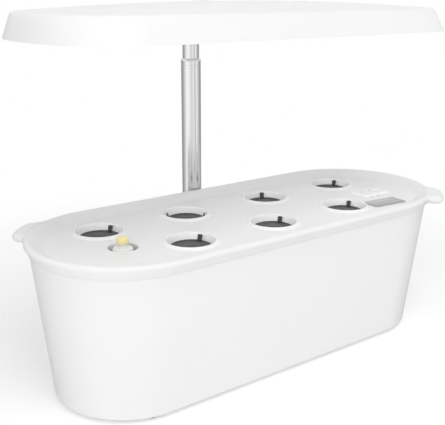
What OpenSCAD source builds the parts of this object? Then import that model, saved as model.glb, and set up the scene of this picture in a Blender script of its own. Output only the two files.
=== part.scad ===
// Countertop hydroponic garden: an oval water tank, a lift-off planting deck with seven net cups,
// a circulation pump and a level float below the deck, and a grow lamp on a telescopic mast
// behind the tank. Millimetres, +Z up, -Y is the front. The pieces are drawn about the tank's
// centre, and placed() moves them so that the origin lies on the table under the whole object.

/* [Tank] */
// Length of the straight stretch between the two round ends
straight = 258; // [250:1:270]
// Width of the deck's rim, across the tank
rim_w = 165; // [163:1:167]
// Width of the tank at its base
base_w = 129; // [126:1:132]
// Height of the deck's rim above the table
rim_z = 139; // [137:1:141]
// Height from the tank's seam up to the rim
band_h = 12; // [11.5:0.5:12.5]
// Thickness of the tank's wall
wall = 2.6; // [2.4:0.1:2.8]

/* [Planting deck] */
// Depth of the deck's floor below the rim
floor_drop = 6; // [5.5:0.5:6.5]
// Distance between neighbouring net cups in the front row
cup_pitch = 89; // [88.5:0.5:90]
// Distance of the back row of cups behind the middle
back_row_y = 31.5; // [30:0.5:33]
// Distance of the front row of cups ahead of the middle
front_row_y = 36; // [35:0.5:37]
// Diameter of the cup wells
well_d = 37; // [36:0.5:38]
// Depth of a net cup
cup_h = 46; // [40:1:50]

/* [Mast] */
// Distance of the mast to the right of the middle
mast_x = 2.5; // [0:0.5:4]
// Distance of the mast behind the middle
mast_y = 93; // [92.5:0.5:95]
// Outer diameter of the lower tube
tube_d = 19; // [19:0.1:19.2]
// Outer diameter of the upper tube
upper_tube_d = 16; // [15.8:0.1:16.2]
// Height of the lower tube's top end
tube_top_z = 267; // [262:1:270]
// How far the lamp can be raised
lamp_travel = 180; // [150:5:185]

/* [Grow lamp] */
// Length of the lamp's lower edge
lamp_l = 408; // [400:1:412]
// Width of the lamp's lower edge
lamp_w = 171; // [168:1:173]
// Height of the lamp's lower edge above the table, mast pushed in
lamp_z = 295; // [293:1:298]
// Height of the lamp's slanted side wall
lamp_wall_h = 20; // [19:0.5:21]
// Rise of the crowned top above the side wall
lamp_crown = 7; // [5:0.5:9]
// Bluntness of the lamp's ends, where 2 is an ellipse
lamp_power = 2.33; // [2.1:0.01:2.6]

/* [Hidden] */
$fn = 96;

// Tank
rim_r = rim_w / 2;
base_r = base_w / 2;
half_run = straight / 2;
seam_z = rim_z - band_h;
tank_top_r = rim_r - 4.5;
tank_bottom_z = 3;
tank_floor_t = 3;
wall_slope = (tank_top_r - base_r) / (seam_z - tank_bottom_z);
ring_bottom_z = 1.2;
ring_inset = 4.5;
ring_w = 13;
foot_d = 12;
foot_h = 2.2;
foot_angle = 13;
foot_reach = base_r - ring_inset - foot_d / 2 - 0.5;
foot_at = [for (sx = [-1, 1], sy = [-1, 1])
    [sx * (half_run + foot_reach * sin(foot_angle)), sy * foot_reach * cos(foot_angle)]];

// Planting deck
deck_t = 2.2;
floor_z = rim_z - floor_drop;
deck_under_z = floor_z - deck_t;
crest_r = 3;
floor_inset = 15;
skirt_inset = 4.2;
skirt_t = 2.4;
rib_inset = 8.3;
rib_t = 2;
rib_depth = 6;
relief = 1.2;
relief_half = 100;
lug_angle = 132;
lug_reach = 13;
lug_w = 36;
lug_h = 9;
lug_corner = 10;
well_r = well_d / 2;
well_wall = 1.8;
well_depth = 13;
lip_h = 2.3;
lip_w = 6;
ledge_drop = 7.3;
ledge_w = 2;
ledge_t = 1.6;

// Net cups: their places, and how far each is turned in its well
cup_flange_r = well_r - 0.4;
cup_flange_t = 1.4;
cup_t = 1.2;
cup_top_r = well_r - ledge_w - 0.5;
cup_bottom_r = 12;
cup_seat_z = floor_z + lip_h - ledge_drop;
cup_slots = 10;
cup_slot = [3.6, 14];
cup_slot_z = [7, 26];
drain_r = 1.8;
drain_reach = 6.5;
ear_h = 6.3;
ear_w = 4;
ear_t = 1.3;
ear_lean = 20;
back_row_gap = 6;
cup_at = concat(
    [for (i = [-1.5:1.5]) [i * cup_pitch + sign(i) * back_row_gap / 2, back_row_y]],
    [for (i = [-1:1]) [i * cup_pitch, -front_row_y]]);
cup_turn = [27, -36, 61, 29, 28, 28, 29];

// Level float
float_at = [-141, -15.5];
float_hole_r = 12.2;
float_guide_t = 1.6;
float_guide_z = 36;
float_cap_r = 8.6;
float_cap_z = 129;
float_cap_top_z = 133.9;
float_neck_r = 3;
float_rod_r = 2;
buoy_r = 10.8;
buoy_h = 24;
tip_r = 5;
tip_z = 137;
tip_h = 5.2;

// Control panel
window_at = [131.9, -48.6];
window_turn = -6;
window_size = [39.4, 20];
window_t = 1.6;
window_proud = 0.6;
display_shift = 2;
display_size = [24, 12];
pad_at = [149, -12.5];
pad_size = [34, 24];
pad_t = 1.4;
pad_proud = 1;
pad_corner = 3;
button_r = 4.6;
button_gap = 0.3;
button_proud = 0.7;
button_travel = 0.8;
button_flange = 0.8;
button_at = [[143, -12.5], [155, -12.5]];
light_r = 1.5;
light_at = [[137, -27.7], [146, -27.7]];
tub_at = [140, -31];
tub_size = [54, 58];
tub_h = 15;
tub_t = 1.8;
gasket_t = 0.8;
tub_top_z = deck_under_z - gasket_t;
tub_z = tub_top_z - tub_h;
tub_boss_r = 3;
tub_boss_at = [for (x = [-22, 22], y = [-23.8, 23.8]) tub_at + [x, y]];
board_size = [48, 52];
board_t = 1.6;
board_z = deck_under_z - 9;
switch_h = 3.5;
switch_top_z = board_z + board_t + switch_h + 0.7;
contact_at = [100, 67];
contact_size = [22, 8];
contact_z = 121;
contact_pitch = 6;

// Pump
pump_at = [140, -20];
pump_r = 17;
column_r = 9;
column_t = 2;
motor_z = 34;
motor_h = 26;
rotor_r = 6.6;
rotor_h = 12;
rotor_gap = 0.6;
chamber_z = 23;
chamber_r = 12.5;
blade_r = 11;
blade_h = 7;
shaft_r = 1.5;
strainer_z = 8;
strainer_t = 1.6;
outlet_reach = 24;
outlet_r = 4;
outlet_bore_r = 2.7;
outlet_gap = 3;
outlet_top_z = 104;

// Mast
mast_at = [mast_x, mast_y];
tube_r = tube_d / 2;
upper_tube_r = upper_tube_d / 2;
tube_t = 1;
running_gap = 0.05;
collar_h = 6;
mast_foot_h = 36;
mast_foot_r = 13.5;
mast_foot_floor = 4;
housing_w = 116;
housing_top_z = rim_z - 15;
housing_back_y = mast_y + 16;
housing_t = 2.2;
housing_corner = 12;
housing_boss_at = [for (x = [-41, 41], z = [22, 104]) [mast_x + x, z]];
screw_r = 1.45;
screw_gap = 0.05;
screw_clear_r = 1.7;
screw_head_h = 1.4;
boss_r = 4;
inlet_at = [mast_x - 27, 30];
inlet_r = 5.5;
inlet_bore_r = 2.8;
guide_bush_h = 20;
mast_overlap = 27;
upper_tube_z = tube_top_z - collar_h - mast_overlap - guide_bush_h - lamp_travel;
lead_r = 4.5;
lead_bottom_z = tank_bottom_z + mast_foot_floor + 1;

// Grow lamp
lamp_at = [-4, 5];
lamp_end = 58;
lamp_lean = 11;
lamp_end_lean = 5;
lamp_t = 2;
crease_z = lamp_z + lamp_wall_h;
hub_r = 11.5;
hub_top_z = crease_z - 2;
hub_flange_r = 15;
hub_arm = [26, 26, 4];
pod_r = 18;
pod_reach = 20;
pod_spread = 34;
pod_corner_r = 10;
frame_y = (mast_y + pod_r - rim_r) / 2;
diffuser_z = lamp_z + 1.5;
diffuser_t = 2;
diffuser_end_in = lamp_t + 1.4;
diffuser_side_in = lamp_t + 2.9;
pod_plate_in = lamp_t + 0.5;
led_board_z = lamp_z + 7;
led_board_size = [340, 104];
led_pitch = [22, 24];
led_size = 3;
led_h = 0.8;
lamp_boss_at = [for (x = [-150, -55, 55, 150], y = [-64, 64]) lamp_at + [x, y]];
hub_screw_at = [for (x = [-10, 10]) mast_at + [x, -29]];

// ---------------------------------------------------------------- shared shapes

// Moves what is drawn about the tank's centre into the object's frame
module placed() {
    translate([0, -frame_y, 0]) children();
}

// Carries a profile, drawn as radius and height, once round the oval
module round_oval() {
    for (side = [0, 180])
        rotate([0, 0, side])
            translate([half_run, 0, 0])
                rotate([0, 0, -90])
                    rotate_extrude(angle = 180) children();
    for (side = [0, 1])
        mirror([0, side, 0])
            translate([-half_run, 0, 0])
                rotate([90, 0, 90])
                    linear_extrude(2 * half_run) children();
}

// A solid oval whose radius goes from r0 at z0 to r1 at z1
module oval_block(r0, r1, z0, z1) {
    for (side = [0, 180])
        rotate([0, 0, side])
            translate([half_run, 0, 0])
                rotate([0, 0, -90])
                    rotate_extrude(angle = 180)
                        polygon([[0, z0], [r0, z0], [r1, z1], [0, z1]]);
    translate([-half_run, 0, 0])
        rotate([90, 0, 90])
            linear_extrude(2 * half_run)
                polygon([[-r0, z0], [r0, z0], [r1, z1], [-r1, z1]]);
}

// Outer radius of the tank's wall at height z
function wall_r(z) = base_r + wall_slope * (z - tank_bottom_z);

// The point where a line from p touches a circle, on the side given by 1 or -1
function touch(c, r, p, side) =
    let (d = p - c, a = atan2(d[1], d[0]) + side * acos(r / norm(d)))
    c + r * [cos(a), sin(a)];

module at(p, z = 0) {
    translate([p[0], p[1], z]) children();
}

module ring(outer, inner, h) {
    difference() {
        cylinder(r = outer, h = h);
        translate([0, 0, -1]) cylinder(r = inner, h = h + 2);
    }
}

module rounded_square(size, r) {
    square([size[0] - 2 * r, size[1]], center = true);
    square([size[0], size[1] - 2 * r], center = true);
    for (x = [-1, 1], y = [-1, 1])
        translate([x * (size[0] / 2 - r), y * (size[1] / 2 - r)]) circle(r);
}

module rounded_plate(size, r, h) {
    linear_extrude(h) rounded_square(size, r);
}

// A screw with its head at the origin and its shank pointing up
module screw(length) {
    cylinder(r = 2.7, h = screw_head_h);
    cylinder(r = screw_r, h = screw_head_h + length);
}

module screw_hole(length) {
    cylinder(r = screw_r + screw_gap, h = length);
}

// Stands a shape that points up so that it points backwards instead, at x and height z
module from_behind(p, y) {
    translate([p[0], y, p[1]]) rotate([90, 0, 0]) children();
}

// ---------------------------------------------------------------- tank

module tank() {
    placed() color("white") {
        difference() {
            union() {
                oval_block(base_r, tank_top_r, tank_bottom_z, seam_z);
                for (p = housing_boss_at)
                    from_behind(p, housing_back_y - housing_t)
                        cylinder(r = boss_r, h = housing_back_y - housing_t - wall_r(p[1]) + wall / 2);
                base_ring();
            }
            oval_block(wall_r(tank_bottom_z + tank_floor_t) - wall, tank_top_r - wall + wall_slope,
                tank_bottom_z + tank_floor_t, seam_z + 1);
            for (p = housing_boss_at) from_behind(p, housing_back_y) screw_hole(14);
            for (p = foot_at) at(p, -1) cylinder(r = foot_d / 2, h = foot_h + 1);
        }
    }
}

// The inset ring that the tank stands on
module base_ring() {
    outer = base_r - ring_inset;
    round_oval()
        polygon([[outer - ring_w, ring_bottom_z], [outer, ring_bottom_z],
            [outer, tank_bottom_z + 0.5], [outer - ring_w, tank_bottom_z + 0.5]]);
}

module feet() {
    placed() color("dimgray") for (p = foot_at) at(p) cylinder(r = foot_d / 2, h = foot_h);
}

// The spring contacts that feed the deck stand on a bracket inside the back wall
module contact_socket() {
    h = 10;
    placed() color("white")
        intersection() {
            at(contact_at + [0, contact_size[1] / 2], contact_z - h - 0.5)
                translate([-contact_size[0] / 2, -contact_size[1], 0])
                    cube([contact_size[0], contact_size[1] + 12, h]);
            oval_block(wall_r(tank_bottom_z) - wall, tank_top_r - wall, tank_bottom_z, seam_z);
        }
}

module contact_pins() {
    placed() color("gold")
        for (i = [-1:1])
            at(contact_at + [i * contact_pitch, 0], contact_z - 0.5) cylinder(r = 0.9, h = 0.45);
}

// ---------------------------------------------------------------- mast housing behind the tank

// A block behind the tank that also reaches well into it, where the tank's own shape is cut away
module housing_block(inset, z0, z1) {
    depth = housing_back_y - base_r + 2 * housing_corner;
    translate([mast_x, housing_back_y - inset - depth / 2, z0])
        rounded_plate([housing_w - 2 * inset, depth], housing_corner - inset, z1 - z0);
}

module mast_housing() {
    placed() color("white")
        difference() {
            housing_block(0, tank_bottom_z, housing_top_z);
            housing_block(housing_t, tank_bottom_z + housing_t, housing_top_z - housing_t);
            oval_block(base_r + 0.1, tank_top_r + 0.1, tank_bottom_z, seam_z);
            at(mast_at, housing_top_z - housing_t - 1) cylinder(r = tube_r + 2.5, h = housing_t + 2);
            at(mast_at, 0) cylinder(r = mast_foot_r + 0.2, h = tank_bottom_z + housing_t + 1);
            for (p = housing_boss_at) from_behind(p, housing_back_y + 1) cylinder(r = screw_clear_r, h = 6);
            from_behind(inlet_at, housing_back_y + 1) cylinder(r = inlet_r, h = 6);
        }
}

module housing_screws() {
    placed() color("silver")
        for (p = housing_boss_at)
            from_behind(p, housing_back_y + screw_head_h) screw(12);
}

// The socket at the mast's foot, moulded to the tank's back wall
module mast_foot() {
    placed() color("whitesmoke")
        difference() {
            union() {
                at(mast_at, tank_bottom_z) cylinder(r = mast_foot_r, h = mast_foot_h);
                translate([mast_x - mast_foot_r, base_r - 1, tank_bottom_z + housing_t])
                    cube([2 * mast_foot_r, mast_y - base_r, mast_foot_h - housing_t]);
            }
            oval_block(base_r + 0.05, tank_top_r + 0.05, tank_bottom_z, seam_z);
            at(mast_at, tank_bottom_z + mast_foot_floor) cylinder(r = tube_r + 0.02, h = mast_foot_h);
        }
}

module mast_grommet() {
    placed() color("gainsboro")
        at(mast_at, housing_top_z - housing_t) {
            ring(tube_r + 2.5, tube_r + 0.02, housing_t);
            translate([0, 0, housing_t]) ring(tube_r + 3.5, tube_r + 0.02, 1.2);
        }
}

// The low-voltage socket: a bore with a centre pin, and a bezel outside
module dc_inlet() {
    placed() color("dimgray")
        difference() {
            union() {
                from_behind(inlet_at, housing_back_y + 0.8) cylinder(r = inlet_r + 1.5, h = 0.8);
                from_behind(inlet_at, housing_back_y) cylinder(r = inlet_r, h = 13);
            }
            difference() {
                from_behind(inlet_at, housing_back_y + 2) cylinder(r = inlet_bore_r, h = 11);
                from_behind(inlet_at, housing_back_y - 1) cylinder(r = 1, h = 9);
            }
        }
}

// The lamp driver, standing on edge beside the mast, with its coil, capacitor and connectors
module driver_board() {
    board = [22, board_t, 62];
    corner = [mast_x + 17, mast_y + 4, 34];
    placed() color("darkgreen")
        translate(corner) {
            cube(board);
            translate([11, 0, 14]) rotate([90, 0, 0]) cylinder(r = 6, h = 7);
            translate([6, 0, 32]) rotate([90, 0, 0]) cylinder(r = 4, h = 9);
            translate([12, -5, 42]) cube([8, 5.5, 10]);
            translate([3, -4, 52]) cube([10, 4.5, 6]);
        }
}

module lower_tube() {
    h = tube_top_z - collar_h - tank_bottom_z - mast_foot_floor;
    placed() color("silver") at(mast_at, tank_bottom_z + mast_foot_floor) ring(tube_r, tube_r - tube_t, h);
}

// The rounded end piece of the lower tube, whose bore guides the upper tube
module tube_collar() {
    bore = upper_tube_r + running_gap;
    lip = (tube_r - bore) / 2;
    placed() color("silver")
        at(mast_at, tube_top_z - collar_h)
            rotate_extrude() {
                translate([bore, 0]) square([tube_r - bore, collar_h - lip]);
                translate([bore + lip, collar_h - lip]) circle(lip);
            }
}

// The coiled lead that runs up inside the mast and stretches as the lamp is raised
module lamp_lead() {
    h = hub_top_z - 8 - lead_bottom_z;
    placed() color("white") at(mast_at, lead_bottom_z) cylinder(r = lead_r, h = h);
}

// ---------------------------------------------------------------- grow lamp

module upper_tube() {
    h = hub_top_z - 4 - upper_tube_z;
    placed() color("silver") at(mast_at, upper_tube_z) ring(upper_tube_r, upper_tube_r - tube_t, h);
}

// The sleeve on the upper tube's foot, running in the lower tube
module guide_bush() {
    outer = tube_r - tube_t - running_gap;
    placed() color("gainsboro") at(mast_at, upper_tube_z) ring(outer, upper_tube_r, guide_bush_h);
}

// The clamp that ties the mast to the lamp, with an arm to two screws
module lamp_hub() {
    arm_z = hub_top_z - hub_arm[2];
    placed() color("whitesmoke")
        difference() {
            union() {
                at(mast_at, diffuser_z) cylinder(r = hub_r, h = hub_top_z - diffuser_z);
                at(mast_at, diffuser_z) cylinder(r = hub_flange_r, h = diffuser_t);
                pod_plate();
                at(mast_at - [hub_arm[0] / 2, hub_arm[1] + 8], arm_z) cube(hub_arm);
            }
            at(mast_at, diffuser_z - 1) cylinder(r = upper_tube_r, h = hub_top_z - 3 - diffuser_z);
            at(mast_at, diffuser_z) cylinder(r = upper_tube_r - tube_t, h = 60);
            for (p = hub_screw_at) at(p, arm_z - 1) cylinder(r = screw_clear_r, h = hub_arm[2] + 2);
        }
}

module hub_screws() {
    placed() color("silver")
        for (p = hub_screw_at) at(p, hub_top_z - hub_arm[2] - screw_head_h) screw(hub_arm[2] + 3);
}

// Half the lamp's outline at angle a round its end: a blunt, super-elliptic curve
function lamp_point(a, l, w, side) =
    [side * (l / 2 - lamp_end + lamp_end * pow(cos(a), 2 / lamp_power)),
        w / 2 * sign(sin(a)) * pow(abs(sin(a)), 2 / lamp_power)];

function lamp_outline(l, w) = concat(
    [for (a = [-90:7.5:90]) lamp_point(a, l, w, 1)],
    [for (a = [90:-7.5:-90]) lamp_point(a, l, w, -1)]);

// A thin slice of the lamp at height z, pulled in by the given amounts
module lamp_slice(end_in, side_in, z) {
    at(lamp_at, z) linear_extrude(0.01) polygon(lamp_outline(lamp_l - 2 * end_in, lamp_w - 2 * side_in));
}

// How far the crowned top has risen where the outline has shrunk by the share k
function crown_z(k) = crease_z + lamp_crown * (1 - pow(1 - k, 2));

// The lamp's body: slanted side, soft crease and crowned top, all pulled in by t
module lamp_body(t, z0) {
    hull() {
        lamp_slice(t, t, z0);
        lamp_slice(lamp_end_lean + t - 1, lamp_lean + t - 1.5, crease_z - 1.5 - t);
        lamp_slice(lamp_end_lean + t + 1, lamp_lean + t + 1.5, crease_z - t);
        for (k = [0.12, 0.3, 0.5, 0.7, 0.85])
            lamp_slice(k * lamp_l / 2 + t, k * lamp_w / 2 + t, crown_z(k) - t);
    }
}

// The bulge over the mast, which fades into the lamp's back edge, drawn in by t
module mast_pod(t, z0) {
    hull() {
        at(mast_at, z0) cylinder(r = pod_r - t, h = crease_z - 6 - t - z0, $fn = 32);
        at(mast_at, z0) cylinder(r = pod_r - t - 4, h = crease_z - t - z0, $fn = 32);
        at(mast_at - [0, pod_reach], z0) cylinder(r = pod_r - t, h = crease_z + 3.5 - t - z0, $fn = 32);
        for (x = [-1, 1])
            at(mast_at + [x * pod_spread, -pod_reach], z0)
                cylinder(r = pod_corner_r - t, h = crease_z - 2 - t - z0, $fn = 32);
    }
}

module lamp_cover() {
    placed() color("white")
        difference() {
            union() {
                difference() {
                    union() {
                        lamp_body(0, lamp_z);
                        mast_pod(0, lamp_z);
                    }
                    lamp_body(lamp_t, lamp_z - 1);
                    mast_pod(lamp_t, lamp_z - 1);
                }
                intersection() {
                    lamp_body(0.6, lamp_z);
                    union() {
                        for (p = lamp_boss_at) at(p, diffuser_z + diffuser_t) cylinder(r = boss_r, h = 30);
                        for (p = hub_screw_at) at(p, hub_top_z) cylinder(r = boss_r - 0.5, h = 30);
                    }
                }
            }
            for (p = lamp_boss_at) at(p, lamp_z) screw_hole(14);
            for (p = hub_screw_at) at(p, hub_top_z - 1) screw_hole(4.2);
        }
}

// The lamp's plan at the diffuser's height, grown by the given amount
module diffuser_block(grown, z, h) {
    at(lamp_at, z)
        linear_extrude(h)
            polygon(lamp_outline(lamp_l - 2 * (diffuser_end_in - grown),
                lamp_w - 2 * (diffuser_side_in - grown)));
}

// Closes the bulge over the mast from below, behind the diffuser's edge
module pod_plate() {
    big = pod_r - pod_plate_in;
    small = pod_corner_r - pod_plate_in;
    corner = [pod_spread, -pod_reach];
    turn = atan2(pod_reach, -pod_spread) - acos((small - big) / norm(corner));
    half = concat([for (i = [0:8]) corner + small * [cos(i / 8 * turn), sin(i / 8 * turn)]],
        [for (i = [0:8]) let (a = turn + i / 8 * (90 - turn)) big * [cos(a), sin(a)]]);
    difference() {
        at(mast_at, diffuser_z)
            linear_extrude(diffuser_t)
                polygon(concat(half, [for (i = [len(half) - 2:-1:0]) [-half[i][0], half[i][1]]]));
        diffuser_block(0.2, diffuser_z - 1, diffuser_t + 2);
    }
}

// The opal plate under the LEDs, cut round the mast's hub
module lamp_diffuser() {
    placed() color("ghostwhite")
        difference() {
            diffuser_block(0, diffuser_z, diffuser_t);
            at(mast_at, diffuser_z - 1) cylinder(r = hub_flange_r + 0.2, h = diffuser_t + 2);
            for (p = lamp_boss_at) at(p, diffuser_z - 1) cylinder(r = screw_clear_r, h = diffuser_t + 2);
        }
}

module lamp_screws() {
    placed() color("silver") for (p = lamp_boss_at) at(p, diffuser_z - screw_head_h) screw(diffuser_t + 9);
}

module led_board() {
    placed() color("silver")
        at(lamp_at, led_board_z)
            rounded_plate(led_board_size, 4, board_t);
}

// LEDs hang below their board in rows; every fourth one along a row is a red one
module leds(red) {
    for (i = [-7:7], j = [-2:2])
        if (((i + 2 * j + 40) % 4 == 0) == red)
            at(lamp_at + [i * led_pitch[0], j * led_pitch[1]], led_board_z - led_h)
                translate([-led_size / 2, -led_size / 2, 0]) cube([led_size, led_size, led_h]);
}

module white_leds() {
    placed() color("lightyellow") leds(false);
}

module red_leds() {
    placed() color("tomato") leds(true);
}

// ---------------------------------------------------------------- planting deck

// The rim's section: a round crest, a band that tapers down to the tank, a slope to the floor,
// and a rib that drops inside the tank's wall
module rim_section() {
    crest = [rim_r - crest_r, rim_z - crest_r];
    skirt = [rim_r - skirt_inset, seam_z];
    edge = [rim_r - floor_inset, floor_z];
    polygon([skirt, touch(crest, crest_r, skirt, 1), crest + [0, crest_r],
        touch(crest, crest_r, edge, -1), edge, edge - [0, deck_t],
        [rim_r - 13.9, deck_under_z], [rim_r - 6.5, rim_z - 4.8], [rim_r - 4.6, seam_z + 4],
        skirt - [skirt_t, 0]]);
    translate(crest) circle(crest_r);
    translate([rim_r - rib_inset - rib_t, seam_z - rib_depth]) square([rib_t, rib_depth + 7]);
}

module oval_2d(r) {
    square([2 * half_run, 2 * r], center = true);
    for (x = [-half_run, half_run]) translate([x, 0]) circle(r);
}

// A finger lug, reaching out from the rim
module lug() {
    inner = rim_r - 5;
    outer = rim_r + lug_reach;
    translate([half_run, 0, rim_z - 1 - lug_h])
        rotate([0, 0, lug_angle - 180])
            translate([(inner + outer - lug_corner) / 2, 0, 0])
                linear_extrude(lug_h) {
                    square([outer - inner - lug_corner, lug_w], center = true);
                    translate([(outer - inner) / 2 - lug_corner / 2, 0])
                        square([2 * lug_corner, lug_w - 2 * lug_corner], center = true);
                    for (y = [-1, 1])
                        translate([(outer - inner - lug_corner) / 2, y * (lug_w / 2 - lug_corner)])
                            circle(lug_corner);
                }
}

// A raised lip round a well, the well's wall, and the ledge that the cup's flange sits on
module well() {
    lip_z = floor_z + lip_h;
    rotate_extrude() {
        polygon([[well_r, deck_under_z], [well_r, lip_z - 0.8], [well_r + 0.8, lip_z],
            [well_r + 2, lip_z], [well_r + lip_w, floor_z - 0.01], [well_r + lip_w, deck_under_z]]);
        translate([well_r, lip_z - well_depth]) square([well_wall, well_depth - 1]);
        translate([well_r - ledge_w, cup_seat_z - ledge_t]) square([ledge_w + 1, ledge_t]);
    }
}

// The slant at which the window and the display behind it lie
module turned() {
    rotate([0, 0, window_turn]) children();
}

module deck_holes() {
    for (p = cup_at) at(p, floor_z - 20) cylinder(r = well_r, h = 40);
    at(float_at, floor_z - 20) cylinder(r = float_hole_r, h = 40);
    for (p = button_at) at(p, floor_z - 20) cylinder(r = button_r + button_gap, h = 40);
    for (p = light_at) at(p, floor_z - 20) cylinder(r = light_r, h = 40);
    at(window_at, floor_z + window_proud - window_t) turned() rounded_plate(window_size, 2, 10);
    at(pad_at, floor_z + pad_proud - pad_t) rounded_plate(pad_size, pad_corner, 10);
}

module deck() {
    placed() color("white")
        difference() {
            union() {
                difference() {
                    union() {
                        round_oval() rim_section();
                        translate([0, 0, deck_under_z])
                            linear_extrude(deck_t) oval_2d(rim_r - floor_inset + 0.5);
                        for (side = [0, 180]) rotate([0, 0, side]) lug();
                    }
                    deck_holes();
                }
                for (p = cup_at) at(p) well();
                for (p = tub_boss_at)
                    at(p, tub_z + tub_t) cylinder(r = tub_boss_r, h = deck_under_z - tub_z - tub_t + 0.5);
            }
            for (p = tub_boss_at) at(p, tub_z) screw_hole(11);
            translate([-relief_half, rim_r - relief, seam_z - 1]) cube([2 * relief_half, 10, band_h + 2]);
        }
}

module display_window() {
    placed() color("dimgray")
        at(window_at, floor_z + window_proud - window_t)
            turned() rounded_plate(window_size - [0.2, 0.2], 2, window_t);
}

module control_pad() {
    placed() color("white")
        difference() {
            at(pad_at, floor_z + pad_proud - pad_t)
                rounded_plate(pad_size - [0.2, 0.2], pad_corner, pad_t);
            for (p = button_at) at(p, floor_z - 5) cylinder(r = button_r + button_gap, h = 10);
        }
}

module status_light(i) {
    at(light_at[i], deck_under_z - 1) cylinder(r = light_r, h = deck_t + 1.3);
}

module status_light_green() {
    placed() color("yellowgreen") status_light(0);
}

module status_light_blue() {
    placed() color("cornflowerblue") status_light(1);
}

// A push button, kept in by its flange below the deck, over its switch on the board
module push_button(i) {
    stem_z = switch_top_z + button_travel + 0.1;
    top_z = floor_z + pad_proud + button_proud;
    at(button_at[i]) {
        translate([0, 0, deck_under_z - 0.1]) cylinder(r = button_r, h = top_z - deck_under_z + 0.1);
        translate([0, 0, deck_under_z - 1.1]) cylinder(r = button_r + button_flange, h = 1);
        translate([0, 0, stem_z]) cylinder(r = 1.8, h = deck_under_z - stem_z);
    }
}

module light_button() {
    placed() color("whitesmoke") push_button(0);
}

module pump_button() {
    placed() color("whitesmoke") push_button(1);
}

// The control board with a switch under each button and a lamp under each status light
module control_board() {
    placed() color("darkgreen")
        difference() {
            union() {
                at(tub_at, board_z) rounded_plate(board_size, 2, board_t);
                for (p = button_at) at(p, board_z + board_t) {
                    translate([-3, -3, -0.2]) cube([6, 6, switch_h + 0.2]);
                    cylinder(r = 1.7, h = switch_h + 0.7);
                }
                for (p = light_at) at(p, board_z + board_t - 0.2) cylinder(r = 1.5, h = 3);
                at(window_at + [display_shift, 0], board_z + board_t - 0.2)
                    turned() rounded_plate(display_size, 1, 4);
            }
            for (p = tub_boss_at) at(p, board_z - 1) cylinder(r = tub_boss_r + 0.3, h = 4);
        }
}

// The sealed tub under the deck that keeps the board dry
module control_tub() {
    placed() color("white")
        difference() {
            at(tub_at, tub_z) rounded_plate(tub_size, 5, tub_h);
            at(tub_at, tub_z + tub_t) rounded_plate(tub_size - 2 * [tub_t, tub_t], 5 - tub_t, tub_h);
            for (p = tub_boss_at) at(p, tub_z - 1) cylinder(r = screw_clear_r, h = tub_t + 2);
            at(pump_at, tub_z - 1) cylinder(r = column_r - column_t, h = tub_t + 2);
        }
}

module tub_gasket() {
    placed() color("gray")
        at(tub_at, tub_top_z)
            linear_extrude(gasket_t)
                difference() {
                    rounded_square(tub_size, 5);
                    rounded_square(tub_size - 2 * [tub_t, tub_t], 5 - tub_t);
                }
}

module tub_screws() {
    placed() color("silver") for (p = tub_boss_at) at(p, tub_z - screw_head_h) screw(tub_t + 8);
}

module deck_contacts() {
    placed() color("white")
        at(contact_at, contact_z)
            rounded_plate(contact_size, 1.5, deck_under_z - contact_z);
}

// ---------------------------------------------------------------- level float

module float_guide() {
    outer = float_hole_r + float_guide_t;
    placed() color("white")
        at(float_at)
            difference() {
                translate([0, 0, float_guide_z]) cylinder(r = outer, h = deck_under_z - float_guide_z);
                translate([0, 0, float_guide_z + 2]) cylinder(r = float_hole_r, h = deck_under_z);
                translate([0, 0, float_guide_z - 1]) cylinder(r = 4, h = 10);
                for (a = [0:60:120])
                    rotate([0, 0, a])
                        translate([-outer - 1, -3, float_guide_z + 10]) cube([2 * outer + 2, 6, 70]);
            }
}

// The float: a buoy on a rod that lifts a domed cap through the hole in the deck
module float_body() {
    cap_h = float_cap_top_z - float_cap_z;
    placed() color("white")
        at(float_at) {
            translate([0, 0, float_guide_z + 2.2]) cylinder(r = buoy_r, h = buoy_h);
            translate([0, 0, float_guide_z + 4]) cylinder(r = float_rod_r, h = tip_z - float_guide_z - 4);
            translate([0, 0, float_cap_z])
                rotate_extrude()
                    polygon([[0, 0], [float_cap_r, 0], [float_cap_r, cap_h - 2.2],
                        [float_cap_r - 1, cap_h - 0.9], [float_cap_r - 3.6, cap_h], [float_neck_r, cap_h],
                        [float_neck_r, tip_z - float_cap_z], [0, tip_z - float_cap_z]]);
        }
}

module float_tip() {
    placed() color("gold")
        at(float_at, tip_z)
            rotate_extrude()
                polygon([[0, 0], [tip_r - 0.6, 0], [tip_r, 0.6], [tip_r, tip_h - 1.8],
                    [tip_r - 0.8, tip_h - 0.6], [tip_r - 2.4, tip_h], [0, tip_h]]);
}

// ---------------------------------------------------------------- pump under the control tub

module pump_column() {
    placed() color("white")
        at(pump_at, motor_z + motor_h)
            ring(column_r, column_r - column_t, tub_z - motor_z - motor_h);
}

module pump_motor() {
    placed() color("dimgray")
        at(pump_at, motor_z)
            difference() {
                cylinder(r = pump_r, h = motor_h);
                translate([0, 0, -1]) cylinder(r = rotor_r + rotor_gap, h = rotor_h + 3);
                translate([0, 0, -1]) cylinder(r = shaft_r, h = rotor_h + 9);
            }
}

module impeller_shaft() {
    placed() color("silver")
        at(pump_at, chamber_z + 2) cylinder(r = shaft_r, h = motor_z + rotor_h + 8 - chamber_z - 2);
}

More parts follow.
